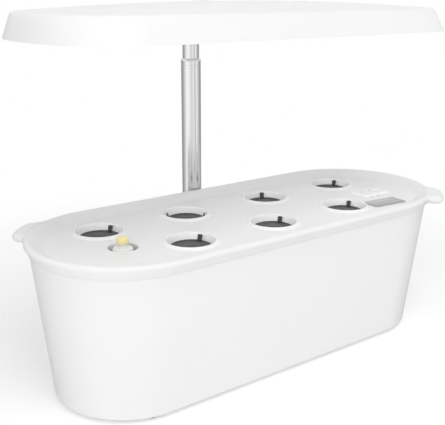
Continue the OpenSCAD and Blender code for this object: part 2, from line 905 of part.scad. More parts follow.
// The magnet rotor and the blades below it, turning on the shaft
module impeller() {
    placed() color("black")
        at(pump_at)
            difference() {
                union() {
                    translate([0, 0, motor_z - 1]) cylinder(r = rotor_r, h = rotor_h + 1);
                    translate([0, 0, motor_z - 1.6]) cylinder(r = blade_r, h = 1);
                    for (a = [0:60:300])
                        rotate([0, 0, a])
                            translate([shaft_r + 1, -0.6, motor_z - 1 - blade_h])
                                cube([blade_r - 3, 1.2, blade_h]);
                    translate([0, 0, motor_z - 1 - blade_h]) cylinder(r = shaft_r + 1.6, h = blade_h);
                }
                translate([0, 0, chamber_z]) cylinder(r = shaft_r + running_gap, h = 40);
            }
}

// The volute under the motor: intake below, outlet port at the side
module pump_cover() {
    h = motor_z - chamber_z;
    placed() color("dimgray")
        at(pump_at, chamber_z)
            difference() {
                union() {
                    cylinder(r = pump_r, h = h);
                    translate([outlet_gap - outlet_reach, 0, h / 2])
                        rotate([0, 90, 0]) cylinder(r = outlet_r, h = outlet_reach - 8);
                }
                translate([0, 0, 2]) cylinder(r = chamber_r, h = h);
                for (a = [0:90:270]) rotate([0, 0, a]) translate([4.5, 0, -1]) cylinder(r = 1.8, h = 4);
                translate([-outlet_reach, 0, h / 2])
                    rotate([0, 90, 0]) cylinder(r = outlet_bore_r, h = outlet_reach - 6);
            }
}

// The slotted intake cage
module strainer() {
    h = chamber_z - strainer_z;
    placed() color("dimgray")
        at(pump_at, strainer_z)
            difference() {
                cylinder(r = pump_r, h = h);
                translate([0, 0, strainer_t]) cylinder(r = pump_r - strainer_t, h = h);
                for (a = [0:30:150])
                    rotate([0, 0, a])
                        translate([-pump_r - 1, -1.2, 3]) cube([2 * pump_r + 2, 2.4, h - 6]);
            }
}

module pump_sponge() {
    placed() color("darkslategray")
        at(pump_at, strainer_z + strainer_t)
            ring(pump_r - strainer_t - 0.4, 7, chamber_z - strainer_z - strainer_t);
}

// The riser that throws the water back under the deck
module outlet_pipe() {
    h = motor_z - chamber_z;
    placed() color("white")
        at(pump_at - [outlet_reach, 0], chamber_z + h / 2)
            difference() {
                union() {
                    translate([0, 0, -6]) cylinder(r = 6, h = 12);
                    cylinder(r = outlet_r, h = outlet_top_z - chamber_z - h / 2);
                }
                cylinder(r = outlet_bore_r, h = 200);
                rotate([0, 90, 0]) cylinder(r = outlet_bore_r, h = 20);
                translate([outlet_gap, 0, 0]) rotate([0, 90, 0]) cylinder(r = outlet_r + 0.02, h = 20);
            }
}

// ---------------------------------------------------------------- net cups

module net_cup(i) {
    placed() color("dimgray")
        at(cup_at[i], cup_seat_z)
            rotate([0, 0, cup_turn[i]]) {
                difference() {
                    rotate_extrude()
                        polygon([[0, -cup_h], [cup_bottom_r, -cup_h], [cup_top_r, 0], [cup_flange_r, 0],
                            [cup_flange_r, cup_flange_t], [cup_top_r - cup_t, cup_flange_t],
                            [cup_bottom_r - cup_t, cup_t - cup_h], [0, cup_t - cup_h]]);
                    for (k = [0:cup_slots / 2 - 1])
                        rotate([0, 0, (k + 0.5) * 360 / cup_slots])
                            for (z = cup_slot_z)
                                translate([-well_r, -cup_slot[0] / 2, z - cup_h])
                                    cube([2 * well_r, cup_slot[0], cup_slot[1]]);
                    for (a = [0:60:300])
                        rotate([0, 0, a])
                            translate([drain_reach, 0, -cup_h - 1]) cylinder(r = drain_r, h = 4);
                    translate([0, 0, -cup_h - 1]) cylinder(r = 2.5, h = 4);
                }
                for (side = [0, 180]) rotate([0, 0, side]) cup_ear();
            }
}

// One of the two ears that a cup is lifted out by: it stands on the flange and leans outwards
module cup_ear() {
    foot_x = cup_top_r - cup_t + 0.2;
    bend_z = cup_flange_t + 0.6;
    reach = (ear_h - bend_z) * tan(ear_lean);
    translate([0, ear_w / 2, 0])
        rotate([90, 0, 0])
            linear_extrude(ear_w)
                polygon([[foot_x, cup_flange_t - 0.4], [foot_x + ear_t, cup_flange_t - 0.4],
                    [foot_x + ear_t, bend_z], [foot_x + ear_t + reach, ear_h],
                    [foot_x + reach, ear_h], [foot_x, bend_z]]);
}

module net_cup_1() { net_cup(0); }
module net_cup_2() { net_cup(1); }
module net_cup_3() { net_cup(2); }
module net_cup_4() { net_cup(3); }
module net_cup_5() { net_cup(4); }
module net_cup_6() { net_cup(5); }
module net_cup_7() { net_cup(6); }

tank();
feet();
mast_housing();
housing_screws();
dc_inlet();
driver_board();
mast_foot();
mast_grommet();
lower_tube();
tube_collar();
contact_socket();
contact_pins();
lamp_lead();
upper_tube();
guide_bush();
lamp_hub();
hub_screws();
lamp_cover();
lamp_diffuser();
lamp_screws();
led_board();
white_leds();
red_leds();
deck();
display_window();
control_pad();
status_light_green();
status_light_blue();
light_button();
pump_button();
control_board();
control_tub();
tub_gasket();
tub_screws();
deck_contacts();
float_guide();
float_body();
float_tip();
pump_column();
pump_motor();
impeller_shaft();
impeller();
pump_cover();
strainer();
pump_sponge();
outlet_pipe();
net_cup_1();
net_cup_2();
net_cup_3();
net_cup_4();
net_cup_5();
net_cup_6();
net_cup_7();
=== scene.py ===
"""The looks of a countertop hydroponic garden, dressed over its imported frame.

Pieces are drawn in millimetres about the tank's centre, +Z up and -Y the front. in_metres()
brings them into the object's frame.
"""

import math

import bmesh
import bpy
from mathutils import Matrix, Vector


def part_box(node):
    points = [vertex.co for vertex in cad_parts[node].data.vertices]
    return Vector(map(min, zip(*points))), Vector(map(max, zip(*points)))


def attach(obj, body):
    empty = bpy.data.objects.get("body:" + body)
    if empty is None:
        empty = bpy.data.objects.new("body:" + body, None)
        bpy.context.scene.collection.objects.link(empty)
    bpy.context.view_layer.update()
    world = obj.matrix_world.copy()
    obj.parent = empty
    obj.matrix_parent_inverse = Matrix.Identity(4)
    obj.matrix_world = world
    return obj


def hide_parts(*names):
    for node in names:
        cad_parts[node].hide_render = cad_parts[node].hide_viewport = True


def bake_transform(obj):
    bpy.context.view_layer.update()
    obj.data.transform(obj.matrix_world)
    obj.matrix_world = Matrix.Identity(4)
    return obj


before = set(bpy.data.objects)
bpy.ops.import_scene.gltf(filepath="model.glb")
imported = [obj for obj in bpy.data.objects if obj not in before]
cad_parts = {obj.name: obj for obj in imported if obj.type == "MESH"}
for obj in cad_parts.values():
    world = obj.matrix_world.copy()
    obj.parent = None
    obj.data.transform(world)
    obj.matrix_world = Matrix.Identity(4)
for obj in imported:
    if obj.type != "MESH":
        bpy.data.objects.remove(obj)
bpy.context.view_layer.update()

# ---------- sizes, in millimetres

MM = 0.001


def middle(node):
    """Centre of a CAD node's box, in metres."""
    low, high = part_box(node)
    return (low + high) / 2


def top_of(node):
    """Height of a CAD node's top, in millimetres."""
    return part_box(node)[1].z / MM


def foot_of(node):
    """Height of a CAD node's lowest point, in millimetres."""
    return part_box(node)[0].z / MM


TANK_CENTRE = Vector((middle("feet").x, middle("feet").y, 0.0))
TO_FRAME = Matrix.Translation(TANK_CENTRE) @ Matrix.Scale(MM, 4)
WELD = 0.001


def place_of(node):
    """Plan centre of a CAD node, in millimetres about the tank's centre."""
    at = (middle(node) - TANK_CENTRE) / MM
    return at.x, at.y


def back_of(node):
    """How far back a CAD node reaches, in millimetres."""
    return (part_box(node)[1].y - TANK_CENTRE.y) / MM


def grid(centre, xs, ys):
    """Places about a centre, one for each pair of steps."""
    return [(centre[0] + x, centre[1] + y) for x in xs for y in ys]


MAST = place_of("lower_tube")

# Tank
HALF_RUN = 129.0
RIM_R = 82.5
BASE_R = 64.5
TANK_TOP_R = 78.0
RIM_Z = 139.0
SEAM_Z = 127.0
TANK_BOTTOM_Z = 3.0
TANK_FLOOR_Z = 6.0
WALL = 2.6
RING_BOTTOM_Z = 1.2
RING_R = 60.0
RING_W = 13.0
WALL_SLOPE = (TANK_TOP_R - BASE_R) / (SEAM_Z - TANK_BOTTOM_Z)

# Behind and under the tank
FOOT_R = 6.0
SOLE_R = 4.0
HOUSING_HALF = 58.0
HOUSING_T = 2.2
HOUSING_CORNER = 12.0
HOUSING_EDGE = 2.5
HOUSING_GAP = 0.15
HOUSING_TOP_Z = top_of("mast_housing")
HOUSING_BACK_Y = back_of("mast_housing")
HOUSING_FASTENERS = grid((MAST[0], 0.0), (-41.0, 41.0), (22.0, 104.0))
BOSS_R = 4.0
BOSS_SINK = 1.0
MAST_FOOT_R = 13.7
GROMMET_NECK = 2.5
OUTWARDS = Matrix.Rotation(math.radians(-90), 4, "X")
INWARDS = Matrix.Rotation(math.radians(90), 4, "X")

# Deck
FLOOR_Z = 133.0
UNDER_Z = 130.8
CREST_R = 3.0
FLOOR_EDGE_R = RIM_R - 15.0
FLOOR_EASE = 9.0
SKIRT_R = RIM_R - 4.2
PLATE_R = 64.5
RELIEF = 1.2
RELIEF_HALF = 100.0
RELIEF_EASE = 3.0
LUG_ANGLE = 132.0
LUG_REACH = 13.0
LUG_HALF_DEG = 17.0
LUG_FLAT_DEG = 6.5
LUG_TOP_Z = 138.0
LUG_BOTTOM_Z = 129.0
WELL_R = 18.5
LIP_H = 2.3
LIP_W = 6.0
LIP_EASE = 0.5
LIP_SLANT = 1.8
LIP_RISE = 3.2
LEDGE_W = 2.0
LEDGE_T = 1.6
SEAT_Z = 128.0
CUP_TOP_Z = 129.4
WELL_WALL = 1.8
WELL_BOTTOM_Z = 122.3
CUP_COUNT = 7
TUB_FASTENERS = grid(place_of("control_tub"), (-22.0, 22.0), (-23.8, 23.8))
POST_R = 3.0
TUB_FLOOR_T = 1.8

# Mast and lamp
TUBE_R = 9.5
UPPER_TUBE_R = 8.0
TUBE_T = 1.0
COLLAR_H = 6.0
LIP_ROUND = 2.6
RUNNING_GAP = 0.05
HUB_FASTENERS = grid(MAST, (-10.0, 10.0), (-29.0,))
LAMP_AT = place_of("led_board")
LAMP_L = 408.0
LAMP_W = 171.0
LAMP_Z = foot_of("lamp_cover")
LAMP_WALL_H = 20.0
CREASE_Z = LAMP_Z + LAMP_WALL_H
CREASE_INSET = 1.6
LAMP_CROWN = 7.0
LAMP_POWER = 2.33
LAMP_END = 58.0
LAMP_LEAN = 11.0
LAMP_END_LEAN = 5.0
LAMP_T = 2.0
LAMP_FASTENERS = grid(LAMP_AT, (-150.0, -55.0, 55.0, 150.0), (-64.0, 64.0))
POD_REACH = back_of("lamp_cover") - (LAMP_AT[1] + LAMP_W / 2)
POD_HALF = 38.0
BLISTER_H = 3.5
BLISTER_DX = 27.0
BLISTER_DY = 15.0
BLISTER_FORWARD = 17.0

# How finely round shapes are drawn
END_STEPS = 120
RUN_STEPS = 40
CIRCLE = 96
KNOB_CIRCLE = 64
SMALL_CIRCLE = 48
PIN_CIRCLE = 32
TINY_CIRCLE = 24
DRAIN_CIRCLE = 20


# ---------- mesh helpers


def smooth_step(x):
    """0 below 0, 1 above 1, and a soft S between."""
    x = min(max(x, 0.0), 1.0)
    return x * x * (3.0 - 2.0 * x)


def polar(r, angle):
    """A point at a distance and an angle in degrees."""
    return r * math.cos(math.radians(angle)), r * math.sin(math.radians(angle))


def arc(x, z, r, start, end, steps):
    """Points round a circle in a section, angles in degrees, both ends included."""
    turns = [polar(r, start + (end - start) * i / steps) for i in range(steps + 1)]
    return [(x + dx, z + dz) for dx, dz in turns]


def line(start, end, steps):
    """Points from start towards end, without either end."""
    return [tuple(s + (e - s) * i / steps for s, e in zip(start, end)) for i in range(1, steps)]


def shifted(r, z, *points):
    """Points of a section given by their distances from one of its places."""
    return [(r + dr, z + dz) for dr, dz in points]


def touch(centre, r, point, side):
    """Angle at which a line from point touches a circle, in degrees."""
    dx, dz = point[0] - centre[0], point[1] - centre[1]
    return math.degrees(math.atan2(dz, dx) + side * math.acos(r / math.hypot(dx, dz)))


def run_marks():
    """Stations along the straight stretch, closer together at the ends of the rear relief."""
    marks = {HALF_RUN * (2.0 * i / RUN_STEPS - 1.0) for i in range(RUN_STEPS + 1)}
    for side in (-1.0, 1.0):
        marks |= {side * (RELIEF_HALF + RELIEF_EASE * k / 3.0) for k in range(4)}
    return sorted(marks)


def oval_stations():
    """Stations round the oval, anticlockwise: (x on the centre line, normal x, normal y)."""
    out = []
    for side, start in ((1.0, -90.0), (-1.0, 90.0)):
        out += [(side * HALF_RUN, *polar(1.0, start + 180.0 * i / END_STEPS)) for i in range(END_STEPS)]
        out += [(-side * x, 0.0, side) for x in run_marks()[:-1]]
    return out


STATIONS = oval_stations()


def oval(r, z):
    """A ring round the oval at one radius and height."""
    return [(x + r * nx, r * ny, z) for x, nx, ny in STATIONS]


def circle(centre, r, z, steps=CIRCLE):
    angles = [2.0 * math.pi * i / steps for i in range(steps)]
    return [(centre[0] + r * math.cos(a), centre[1] + r * math.sin(a), z) for a in angles]


def rounded_rectangle(centre, size, corner, z, steps=8, turn=0.0):
    """A rectangle's rounded outline at one height, turned in plan by an angle in degrees."""
    out = []
    for quarter, (sx, sy) in enumerate(((1, 1), (-1, 1), (-1, -1), (1, -1))):
        x, y = sx * (size[0] / 2 - corner), sy * (size[1] / 2 - corner)
        out += arc(x, y, corner, 90.0 * quarter, 90.0 * quarter + 90.0, steps)
    c, s = polar(1.0, turn)
    return [(centre[0] + c * x - s * y, centre[1] + s * x + c * y, z) for x, y in out]


def add_ring(bm, points):
    return [bm.verts.new(p) for p in points]


def around(ring):
    """Each point of a ring with the next one."""
    return zip(ring, ring[1:] + ring[:1])


def bridge(bm, a, b):
    """Quads between two rings with the same number of points."""
    for (a0, a1), (b0, b1) in zip(around(a), around(b)):
        bm.faces.new((a0, a1, b1, b0))


def loft(bm, rings):
    """Skins over closed rings, and returns the rings' vertices."""
    made = [add_ring(bm, ring) for ring in rings]
    for a, b in zip(made, made[1:]):
        bridge(bm, a, b)
    return made


def fan(bm, ring, rise=0.0):
    """Closes a ring with triangles to a point over its middle."""
    tip = bm.verts.new(sum((v.co for v in ring), Vector((0.0, 0.0, rise * len(ring)))) / len(ring))
    for a, b in around(ring):
        bm.faces.new((a, b, tip))


def fill(bm, *faces):
    """Fills flat faces, each given by the ring round it and the rings round its holes."""
    for rings in faces:
        edges = [bm.edges.get(pair) or bm.edges.new(pair) for ring in rings for pair in around(ring)]
        bmesh.ops.triangle_fill(bm, edges=edges, use_beauty=True, use_dissolve=False)


def lathe(bm, centre, section, steps=CIRCLE):
    """Turns a section of (radius, height) points. Ends on the axis are closed by a fan."""
    made = loft(bm, [circle(centre, r, z, steps) for r, z in section if r > WELD])
    for end, ring in ((section[0], made[0]), (section[-1], made[-1])):
        if end[0] <= WELD:
            fan(bm, ring, end[1] - ring[0].co.z)
    return made


def hole(bm, centre, section, steps, upper, lower):
    """Turns a hole's wall, and adds its two ends to the outlines of the faces that it joins."""
    made = lathe(bm, centre, section, steps)
    upper.append(made[0])
    lower.append(made[-1])


def rod(section, steps):
    """A section turned about its own axis, as a mesh of its own."""
    bm = bmesh.new()
    lathe(bm, (0.0, 0.0), section, steps)
    return bm


def moved(bm, matrix):
    """Moves a mesh by a matrix, and returns it."""
    bmesh.ops.transform(bm, matrix=matrix, verts=bm.verts)
    return bm


def set_in(bm, part, matrix):
    """Adds a part's mesh to another one, moved by a matrix."""
    spare = bpy.data.meshes.new("spare")
    moved(part, matrix).to_mesh(spare)
    part.free()
    bm.from_mesh(spare)
    bpy.data.meshes.remove(spare)


def soft_corner(a, corner, b, r, steps=5):
    """A corner of a section rounded off with radius r."""
    corner = Vector(corner)
    to_a = (Vector(a) - corner).normalized()
    to_b = (Vector(b) - corner).normalized()
    half = to_a.angle(to_b) / 2.0
    centre = corner + (to_a + to_b).normalized() * (r / math.sin(half))
    p, q = (corner + to * (r / math.tan(half)) - centre for to in (to_a, to_b))
    start = math.atan2(p.y, p.x)
    sweep = (math.atan2(q.y, q.x) - start + math.pi) % (2.0 * math.pi) - math.pi
    return arc(*centre, r, math.degrees(start), math.degrees(start + sweep), steps)


def softened(points, radii):
    """A section whose inner corners are rounded; radii gives one radius per point, 0 for sharp."""
    out = [points[0]]
    for a, corner, b, r in zip(points, points[1:], points[2:], radii[1:]):
        out += soft_corner(a, corner, b, r) if r else [corner]
    return out + [points[-1]]


def placed(name, data):
    """A new object in the scene."""
    made = bpy.data.objects.new(name, data)
    bpy.context.scene.collection.objects.link(made)
    return made


def in_metres(name, bm):
    """Turns a finished mesh into an object in the frame."""
    bmesh.ops.recalc_face_normals(bm, faces=bm.faces)
    mesh = bpy.data.meshes.new(name)
    moved(bm, TO_FRAME).to_mesh(mesh)
    bm.free()
    mesh.shade_smooth()
    return placed(name, mesh)


def piece(name, bm, slot, body, *nodes, angle=35.0, finish=None):
    """Makes a mesh a piece of the object: welded, in metres, on its body and in its finish."""
    bmesh.ops.remove_doubles(bm, verts=bm.verts, dist=WELD)
    made = in_metres(name, bm)
    made.data.set_sharp_from_angle(angle=math.radians(angle))
    made.data.materials.append(FINISHES[finish or slot])
    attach(made, body)
    if nodes:
        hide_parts(*nodes)


def turned(name, centre, section, steps, slot, body, *nodes):
    """A piece that is one section turned about an upright axis."""
    bm = bmesh.new()
    lathe(bm, centre, section, steps)
    piece(name, bm, slot, body, *nodes)


# ---------- finishes


class Nodes:
    """A node tree in the making. A socket takes a value or another node's output."""

    def __init__(self, owner):
        owner.use_nodes = True
        self.tree = owner.node_tree

    def join(self, socket, value):
        if isinstance(value, bpy.types.NodeSocket):
            self.tree.links.new(value, socket)
        else:
            socket.default_value = value

    def add(self, kind, sockets=(), **settings):
        made = self.tree.nodes.new("ShaderNode" + kind)
        for name, value in settings.items():
            setattr(made, name, value)
        for socket, value in dict(sockets).items():
            self.join(made.inputs[socket], value)
        return made

    def coords(self):
        """The object's own coordinates, in metres."""
        return self.add("TexCoord").outputs["Object"]

    def height(self, vector):
        return self.add("SeparateXYZ", {"Vector": vector}).outputs["Z"]

    def ramp(self, source, stops):
        """A colour ramp over a grey value; stops are (position, colour)."""
        made = self.add("ValToRGB", {"Fac": source})
        elements = made.color_ramp.elements
        while len(elements) < len(stops):
            elements.new(0.5)
        for element, (position, color) in zip(elements, stops):
            element.position = position
            element.color = (*color, 1.0)
        return made.outputs["Color"]

    def span(self, source, start, end, low=0.0, high=1.0, **settings):
        """Maps a value from one stretch to another."""
        limits = {"Value": source, "From Min": start, "From Max": end, "To Min": low, "To Max": high}
        return self.add("MapRange", limits, **settings).outputs["Result"]

    def blend(self, share, a, b):
        """Mixes two colours."""
        return self.add("Mix", {"Factor": share, "A": a, "B": b}, data_type="RGBA").outputs["Result"]

    def mix(self, share, a, b):
        """Mixes two shaders."""
        return self.add("MixShader", {"Fac": share, 1: a.outputs[0], 2: b.outputs[0]})


class Finish(Nodes):
    """A material with one Principled shader, and the textures over the object that drive it."""

    def __init__(self, name, roughness, metallic=0.0):
        self.mat = bpy.data.materials.new(name + "_finish")
        super().__init__(self.mat)
        self.shader = self.tree.nodes["Principled BSDF"]
        self.set({"Roughness": roughness, "Metallic": metallic})

    def set(self, sockets):
        for socket, value in sockets.items():
            self.join(self.shader.inputs[socket], value)

    def color(self, source, color, share, low=0.3, high=0.7):
        """A colour that a texture drives, from a share of itself to the full colour."""
        self.set({"Base Color": self.ramp(source, [(low, scaled(color, share)), (high, color)])})

    def uneven(self, source, low, high):
        """A gloss that follows a noise."""
        self.set({"Roughness": self.span(source, 0.3, 0.7, low, high)})

    def bump(self, height, strength, depth):
        """Relief on the shader's normal; depth is in metres."""
        relief = self.add("Bump", {"Height": height, "Strength": strength, "Distance": depth})
        self.set({"Normal": relief.outputs["Normal"]})

    def noise(self, scale, detail=2.0, stretch=(1.0, 1.0, 1.0)):
        """Noise, scale per metre."""
        place = self.add("Mapping", {"Vector": self.coords(), "Scale": stretch}).outputs["Vector"]
        return self.add("TexNoise", {"Vector": place, "Scale": scale, "Detail": detail}).outputs["Fac"]

    def cells(self, scale, disorder=1.0):
        """Distances to the middles of cells."""
        sockets = {"Vector": self.coords(), "Scale": scale, "Randomness": disorder}
        return self.add("TexVoronoi", sockets).outputs["Distance"]

    def tracks(self, scale, gap, *colors):
        """Brick-like fields with two colours, and the gaps between them with a third."""
        sockets = {"Vector": self.coords(), "Scale": scale, "Mortar Size": gap}
        for socket, color in zip(("Color1", "Color2", "Mortar"), colors):
            sockets[socket] = (*color, 1.0)
        return self.add("TexBrick", sockets).outputs


def scaled(color, share):
    return tuple(c * share for c in color)


def moulded(name, color, roughness=0.34, drift=0.015, grain=0.08, coat=0.0):
    """Injection-moulded plastic: a slight drift of colour, an uneven gloss and a fine-grained skin."""
    f = Finish(name, roughness)
    f.color(f.noise(9.0, 3.0), color, 1.0 - drift)
    f.uneven(f.noise(60.0, 4.0), roughness - 0.04, roughness + 0.05)
    f.bump(f.noise(2600.0, 3.0), grain, 0.00006)
    f.set({"Coat Weight": coat, "Coat Roughness": 0.12})
    return f


def drawn_steel(name, color, roughness, streak):
    """Drawn tube with fine lines along it; ground round and round, so its gloss runs lengthwise."""
    f = Finish(name, roughness, 1.0)
    lines = f.noise(1500.0, 4.0, (1.0, 1.0, 0.012))
    f.color(lines, color, 0.93, 0.25, 0.75)
    f.uneven(lines, roughness - 0.03, roughness + 0.04)
    f.bump(lines, streak, 0.00002)
    grain = f.add("Tangent", direction_type="RADIAL", axis="Z").outputs["Tangent"]
    f.set({"Tangent": grain, "Anisotropic": 0.8, "Anisotropic Rotation": 0.25})
    return f


def plated(name, color, roughness=0.3):
    """Small plated or turned metal parts, with a cloudy tarnish and fine scratches."""
    f = Finish(name, roughness, 1.0)
    f.color(f.noise(260.0, 5.0), color, 0.8)
    f.bump(f.noise(2200.0, 3.0, (1.0, 0.15, 0.15)), 0.15, 0.00004)
    return f


def soft_rubber(name, color):
    """Matt rubber with a chalky bloom."""
    f = Finish(name, 0.75)
    cloud = f.noise(180.0, 6.0)
    f.set({"Base Color": f.ramp(cloud, [(0.35, color), (0.75, scaled(color, 1.7))])})
    f.bump(cloud, 0.3, 0.0002)
    return f


def basket_grey(name, rim_color, painted_light_color):
    """The baskets' near-black plastic at the rim and ears; lower down, the wall is painted a lighter mottled
    grey, painted light that stands in for the light inside the cups.
    """
    f = Finish(name, 0.36)
    drop = f.span(f.height(f.coords()), (SEAT_Z + 1.2) * MM, (SEAT_Z - 1.5) * MM)
    painted_light_wall = f.ramp(f.noise(160.0, 4.0), [(0.3, scaled(painted_light_color, 0.82)), (0.7, painted_light_color)])
    f.set({"Base Color": f.blend(drop, (*rim_color, 1.0), painted_light_wall)})
    f.uneven(f.noise(60.0, 4.0), 0.17, 0.3)
    f.bump(f.noise(2600.0, 3.0), 0.15, 0.00006)
    return f


def circuit_board(name):
    """Green solder mask with copper tracks under it, and tinned pads."""
    f = Finish(name, 0.35)
    tracks = f.tracks(160.0, 0.05, (0.012, 0.11, 0.04), (0.015, 0.14, 0.05), (0.05, 0.24, 0.07))
    pads = f.ramp(f.cells(300.0), [(0.14, (1.0, 1.0, 1.0)), (0.18, (0.0, 0.0, 0.0))])
    f.set({"Base Color": f.blend(pads, tracks["Color"], (0.55, 0.55, 0.52, 1.0))})
    f.bump(tracks["Fac"], 0.2, 0.0001)
    return f


def open_sponge(name, color):
    """Open-cell foam: dark pores in a matt web."""
    f = Finish(name, 0.95)
    pores = f.cells(900.0)
    f.color(pores, color, 0.2, 0.15, 0.55)
    f.bump(pores, 0.8, 0.0006)
    return f


OPAL_GLOW = 0.15


def opal(name):
    """Opal acrylic with a fine prismatic pattern, which lets some light through and glows faintly."""
    f = Finish(name, 0.42)
    prisms = f.cells(420.0, 0.0)
    f.set({"Base Color": f.ramp(prisms, [(0.0, (0.86, 0.87, 0.87)), (0.6, (0.78, 0.79, 0.80))])})
    f.bump(prisms, 0.25, 0.0002)
    f.set({"Transmission Weight": 0.3, "IOR": 1.49})
    f.set({"Emission Color": (1.0, 1.0, 1.0, 1.0), "Emission Strength": OPAL_GLOW})
    return f


def tinted_lens(name, color):
    """A small coloured lens of clear plastic with a cloudy core."""
    f = Finish(name, 0.15)
    f.color(f.noise(900.0, 3.0), color, 0.85)
    f.set({"Coat Weight": 0.6, "Coat Roughness": 0.05})
    return f


def smoked_window(name, color):
    """The display's smoked window: glossy, faintly lined by the segments' mask behind it."""
    f = Finish(name, 0.18)
    f.color(f.noise(160.0, 2.0, (0.4, 2.2, 1.0)), color, 0.84, 0.35, 0.65)
    f.uneven(f.noise(40.0, 3.0), 0.14, 0.24)
    f.set({"Coat Weight": 0.5, "Coat Roughness": 0.06})
    return f


def coated_board(name):
    """The LED carrier: white coated aluminium, with tracks showing as a faint relief."""
    f = Finish(name, 0.4)
    tracks = f.tracks(42.0, 0.03, (0.80, 0.80, 0.79), (0.82, 0.82, 0.81), (0.68, 0.68, 0.66))
    f.set({"Base Color": tracks["Color"]})
    f.bump(tracks["Fac"], 0.3, 0.0001)
    return f


def painted_wall_glow(name, color, glow):
    """Moulded plastic whose upright walls glow with painted light, which brightens the shaded insides of the
    wells; level faces don't glow.
    """
    f = moulded(name, color, 0.24, 0.01, 0.05)
    facing = f.add("NewGeometry").outputs["True Normal"]
    slope = f.add("Math", {0: f.height(facing)}, operation="ABSOLUTE").outputs["Value"]
    light = f.ramp(slope, [(0.1, (glow,) * 3), (0.5, (0.0,) * 3)])
    f.set({"Emission Color": light, "Emission Strength": 1.0})
    return f


WHITE = (0.88, 0.88, 0.88)
LOOKS = {
    "white_shell": (moulded, WHITE, 0.32),
    "white_inner": (moulded, (0.80, 0.80, 0.80), 0.42, 0.03, 0.12),
    "grey_trim": (moulded, (0.42, 0.42, 0.43), 0.45, 0.05, 0.15),
    "soft_rubber": (soft_rubber, (0.055, 0.055, 0.058)),
    "polished_steel": (drawn_steel, (0.76, 0.76, 0.77), 0.14, 0.06),
    "screw_steel": (plated, (0.62, 0.62, 0.63)),
    "black_plastic": (moulded, (0.022, 0.022, 0.024), 0.4, 0.2, 0.15),
    "circuit_board": (circuit_board,),
    "led_carrier": (coated_board,),
    "contact_gold": (plated, (0.95, 0.68, 0.28), 0.22),
    "lead_sheath": (moulded, (0.74, 0.74, 0.72), 0.5, 0.04, 0.2),
    "opal_cover": (opal,),
    "led_white": (tinted_lens, (0.92, 0.80, 0.38)),
    "led_red": (tinted_lens, (0.75, 0.16, 0.08)),
    "smoked_window": (smoked_window, (0.31, 0.31, 0.32)),
    "light_green": (tinted_lens, (0.74, 0.82, 0.62)),
    "light_blue": (tinted_lens, (0.68, 0.73, 0.90)),
    "button_white": (moulded, (0.92, 0.92, 0.92), 0.3),
    "float_white": (moulded, WHITE, 0.28),
    "float_yellow": (moulded, (0.97, 0.84, 0.42), 0.35, 0.06),
    "rotor_magnet": (moulded, (0.035, 0.034, 0.036), 0.55, 0.3, 0.3),
    "sponge": (open_sponge, (0.09, 0.12, 0.13)),
    # cup_grey: the rim's own near-black, and the wall's lighter grey, which is painted light
    "cup_grey": (basket_grey, (0.036, 0.036, 0.037), (0.26, 0.26, 0.262)),
    # The wells' rings and the pad: a lighter copy of the deck's white, painted light, with a painted glow on
    # their upright faces
    "well_white": (painted_wall_glow, (0.93, 0.93, 0.93), 0.26),
}
FINISHES = {name: make(name, *look).mat for name, (make, *look) in LOOKS.items()}


def dress_cad_nodes():
    """Gives every carried-over CAD node the finish of its own slot."""
    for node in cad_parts.values():
        for place in node.material_slots:
            place.material = FINISHES[place.material.name.split(".")[0]]


# ---------- camera, light and floor

PHOTO_W, PHOTO_H = 445.0, 425.0
CAMERA_AT = Vector((-0.43430, -0.54616, 0.33429))
CAMERA_TURN = math.radians(37.53)
CAMERA_PITCH = math.radians(16.352)
CAMERA_ROLL = math.radians(0.2656)
FOCAL_PX = 776.9
CENTRE_PX = (225.63, 213.55)
SENSOR = 36.0


def make_camera():
    """The photograph's viewpoint: a slightly raised view from the front left."""
    data = bpy.data.cameras.new("camera")
    data.sensor_width = SENSOR
    data.lens = FOCAL_PX * SENSOR / PHOTO_W
    data.shift_x = (PHOTO_W / 2 - CENTRE_PX[0]) / PHOTO_W
    data.shift_y = (CENTRE_PX[1] - PHOTO_H / 2) / PHOTO_W
    data.clip_start = 0.01
    data.clip_end = 50.0
    camera = placed("camera", data)
    camera.matrix_world = Matrix.Translation(CAMERA_AT)
    for angle, axis in ((-CAMERA_TURN, "Z"), (math.pi / 2 - CAMERA_PITCH, "X"), (CAMERA_ROLL, "Z")):
        camera.matrix_world @= Matrix.Rotation(angle, 4, axis)
    bpy.context.scene.camera = camera


PURE_WHITE = (1.0, 1.0, 1.0, 1.0)
DOME_LIGHT = 0.56
HORIZON = (-0.02, 0.14)
# What polished metal sees round the horizon: (degrees from the photograph's side, brightness)
STUDIO_WALLS = (
    (-180.0, 0.36), (-125.0, 0.40), (-96.0, 0.56), (-76.0, 0.88), (-52.0, 1.20),
    (-36.0, 1.28), (-18.0, 1.14), (2.0, 0.92), (16.0, 0.88), (29.0, 1.12),
    (38.0, 0.98), (51.0, 0.66), (57.0, 0.70), (64.0, 1.24), (76.0, 1.00),
    (92.0, 0.80), (112.0, 0.46), (180.0, 0.36),
)


